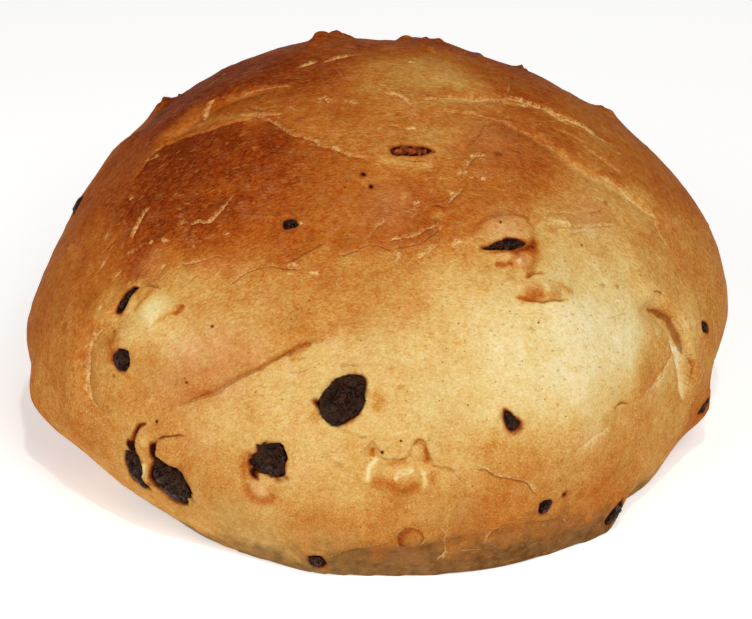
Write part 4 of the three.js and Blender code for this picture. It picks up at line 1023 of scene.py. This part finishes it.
# Raisins: whole dried grapes kneaded into the dough, which show where the skin thinned over them. Each
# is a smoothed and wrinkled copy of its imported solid. The skin is dark and sticky, with a brown shine
# on its creases, and a few raisins that the oven caught are dry and red-brown.
raisin_finishes = [
    ("raisin skin, dried and glossy", "#150906", "#30160b", 0.26, 0.4),
    ("raisin skin, baked dry over the edge", "#5e2410", "#b4501e", 0.45, 0.2),
]
baked_dry = ("raisin_08", "raisin_20", "raisin_23")
crease_sway = (2.4, 2.4, 2.4)
raisin_skins = []
for name, deep, bright, roughness, gloss in raisin_finishes:
    raisin_skin, tree, object_place = new_material(name)
    in_mm = add(tree, "VectorMath", {0: object_place, "Scale": mm_per_metre}, operation="SCALE")
    patches = add(tree, "TexNoise", {"Vector": in_mm, "Scale": 1 / 1.8, "Detail": 3})
    tint = add(tree, "MapRange", {"Value": patches, "From Min": 0.38, "From Max": 0.66})
    skin = add(tree, "Mix", {"Factor": tint, "A": colour(deep), "B": colour(bright)}, data_type="RGBA")
    shine = add(tree, "Math", {0: patches, 1: 0.1, 2: roughness - 0.05}, operation="MULTIPLY_ADD")
    # Rounded cells of 1.6 mm between wandering creases, under a fine creping of 0.5 mm
    swirls = add(tree, "TexNoise", {"Vector": in_mm, "Scale": 1 / 1.6, "Detail": 2}, out=1)
    crease_place = add(tree, "VectorMath", {0: swirls, 1: crease_sway, 2: in_mm}, operation="MULTIPLY_ADD")
    cells = add(tree, "TexVoronoi", {"Vector": crease_place, "Scale": 1 / 1.6})
    cells = add(tree, "Math", {0: cells, 1: 2.0}, operation="POWER")
    creping = add(tree, "TexNoise", {"Vector": in_mm, "Scale": 1 / 0.5, "Detail": 3})
    creping = add(tree, "Math", {0: creping, 1: 0.3}, operation="MULTIPLY")
    creping = add(tree, "Math", {0: creping, 1: cells}, operation="SUBTRACT")
    bump = add(tree, "Bump", {"Strength": 1.0, "Distance": 0.8 * metres_per_mm, "Height": creping})
    surface = add(tree, "BsdfPrincipled",
                  {"Base Color": skin, "Roughness": shine, "Normal": bump, "IOR": 1.48,
                   "Specular IOR Level": gloss, "Specular Tint": colour("#e4b898")})
    add(tree, "OutputMaterial", {"Surface": surface})
    raisin_skins.append(raisin_skin)

lump_texture = bpy.data.textures.new("raisin_lumps", "CLOUDS")
lump_texture.noise_scale = 3.5 * metres_per_mm
wrinkle_texture = bpy.data.textures.new("raisin_wrinkles", "MUSGRAVE")
wrinkle_texture.musgrave_type = "RIDGED_MULTIFRACTAL"
wrinkle_texture.noise_scale = 1.9 * metres_per_mm
raisin_reliefs = [("lumps", lump_texture, 0.7, 0.5), ("wrinkles", wrinkle_texture, 0.7, 1)]
smoothing_levels = 3
merge_distance = 0.01
start_size = 0.98  # the copy starts a little smaller than its solid

for name in raisin_names:
    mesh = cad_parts[name].data.copy()
    raisin = bpy.data.objects.new(name + "_skin", mesh)
    bpy.context.scene.collection.objects.link(raisin)
    select_only(raisin)
    bpy.ops.object.mode_set(mode="EDIT")
    bpy.ops.mesh.select_all(action="SELECT")
    bpy.ops.mesh.remove_doubles(threshold=merge_distance * metres_per_mm)
    bpy.ops.mesh.normals_make_consistent(inside=False)
    bpy.ops.object.mode_set(mode="OBJECT")
    low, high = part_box(name)
    middle = (low + high) / 2
    for vertex in mesh.vertices:
        vertex.co = middle + (vertex.co - middle) * start_size
    smooth = raisin.modifiers.new("smooth", "SUBSURF")
    smooth.levels = smoothing_levels
    smooth.render_levels = smoothing_levels
    for label, texture, height, middle_level in raisin_reliefs:
        displace = raisin.modifiers.new(label, "DISPLACE")
        displace.texture = texture
        displace.texture_coords = "LOCAL"
        displace.strength = height * metres_per_mm
        displace.mid_level = middle_level
    for label in ("smooth", "lumps", "wrinkles"):
        bpy.ops.object.modifier_apply(modifier=label)
    bpy.ops.object.shade_smooth()
    raisin.data.materials.clear()
    raisin.data.materials.append(raisin_skins[name in baked_dry])
    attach(raisin, "root")
    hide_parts(name)

# Studio: a plain floor of pale paper, a soft key light from the upper right, a weak fill from the left,
# a small lamp for the glints, and the camera at the photo's angle
floor_size = 8
bpy.ops.object.select_all(action="DESELECT")
bpy.ops.mesh.primitive_plane_add(size=floor_size, location=(0, 0, 0))
floor = bpy.context.object
floor.name = "floor"
paper, tree, object_place = new_material("seamless white paper, matt")
fibres = add(tree, "TexNoise", {"Vector": object_place, "Scale": 900, "Detail": 2})
paper_tint = add(tree, "Mix", {"Factor": fibres, "A": colour("#f1f0ee"), "B": colour("#f7f6f4")},
                 data_type="RGBA")
surface = add(tree, "BsdfPrincipled", {"Base Color": paper_tint, "Roughness": 0.9,
                                       "Emission Color": colour("#ffffff"), "Emission Strength": 0.4})
add(tree, "OutputMaterial", {"Surface": surface})
floor.data.materials.append(paper)

aim = Vector((-0.0012, -0.0148, 0.040))


def from_aim(azimuth, elevation, distance):
    """A place at a distance in metres from the aim, at an azimuth and elevation in degrees."""
    level = math.cos(math.radians(elevation))
    turn = math.radians(azimuth)
    way = Vector((level * math.sin(turn), -level * math.cos(turn), math.sin(math.radians(elevation))))
    return aim + way * distance


# Lights: azimuth and elevation, distance and size in metres, and watts
lights = [
    ("key", 28, 48, 1.3, 0.7, 8.3),
    ("fill", -50, 30, 1.5, 1.0, 7),
    ("lamp", 8, 62, 1.3, 0.05, 3.2),
]
for label, azimuth, elevation, distance, size, power in lights:
    bpy.ops.object.light_add(type="AREA", location=from_aim(azimuth, elevation, distance))
    lamp = bpy.context.object
    lamp.name = label
    lamp.data.size = size
    lamp.data.energy = power
    lamp.rotation_euler = (aim - lamp.location).to_track_quat("-Z", "Y").to_euler()

world = bpy.data.worlds.new("soft room light")
world.use_nodes = True
background = world.node_tree.nodes["Background"].inputs
background["Color"].default_value = colour("#f4f4f4")
background["Strength"].default_value = 0.2
bpy.context.scene.world = world

camera_distance = 0.9
bpy.ops.object.camera_add(location=from_aim(0, camera_elevation, camera_distance))
camera = bpy.context.object
camera.name = "camera"
camera.rotation_euler = (aim - camera.location).to_track_quat("-Z", "Y").to_euler()
camera.data.sensor_width = 36
camera.data.lens = 150.8
bpy.context.scene.camera = camera
bpy.context.scene.view_settings.view_transform = "Standard"
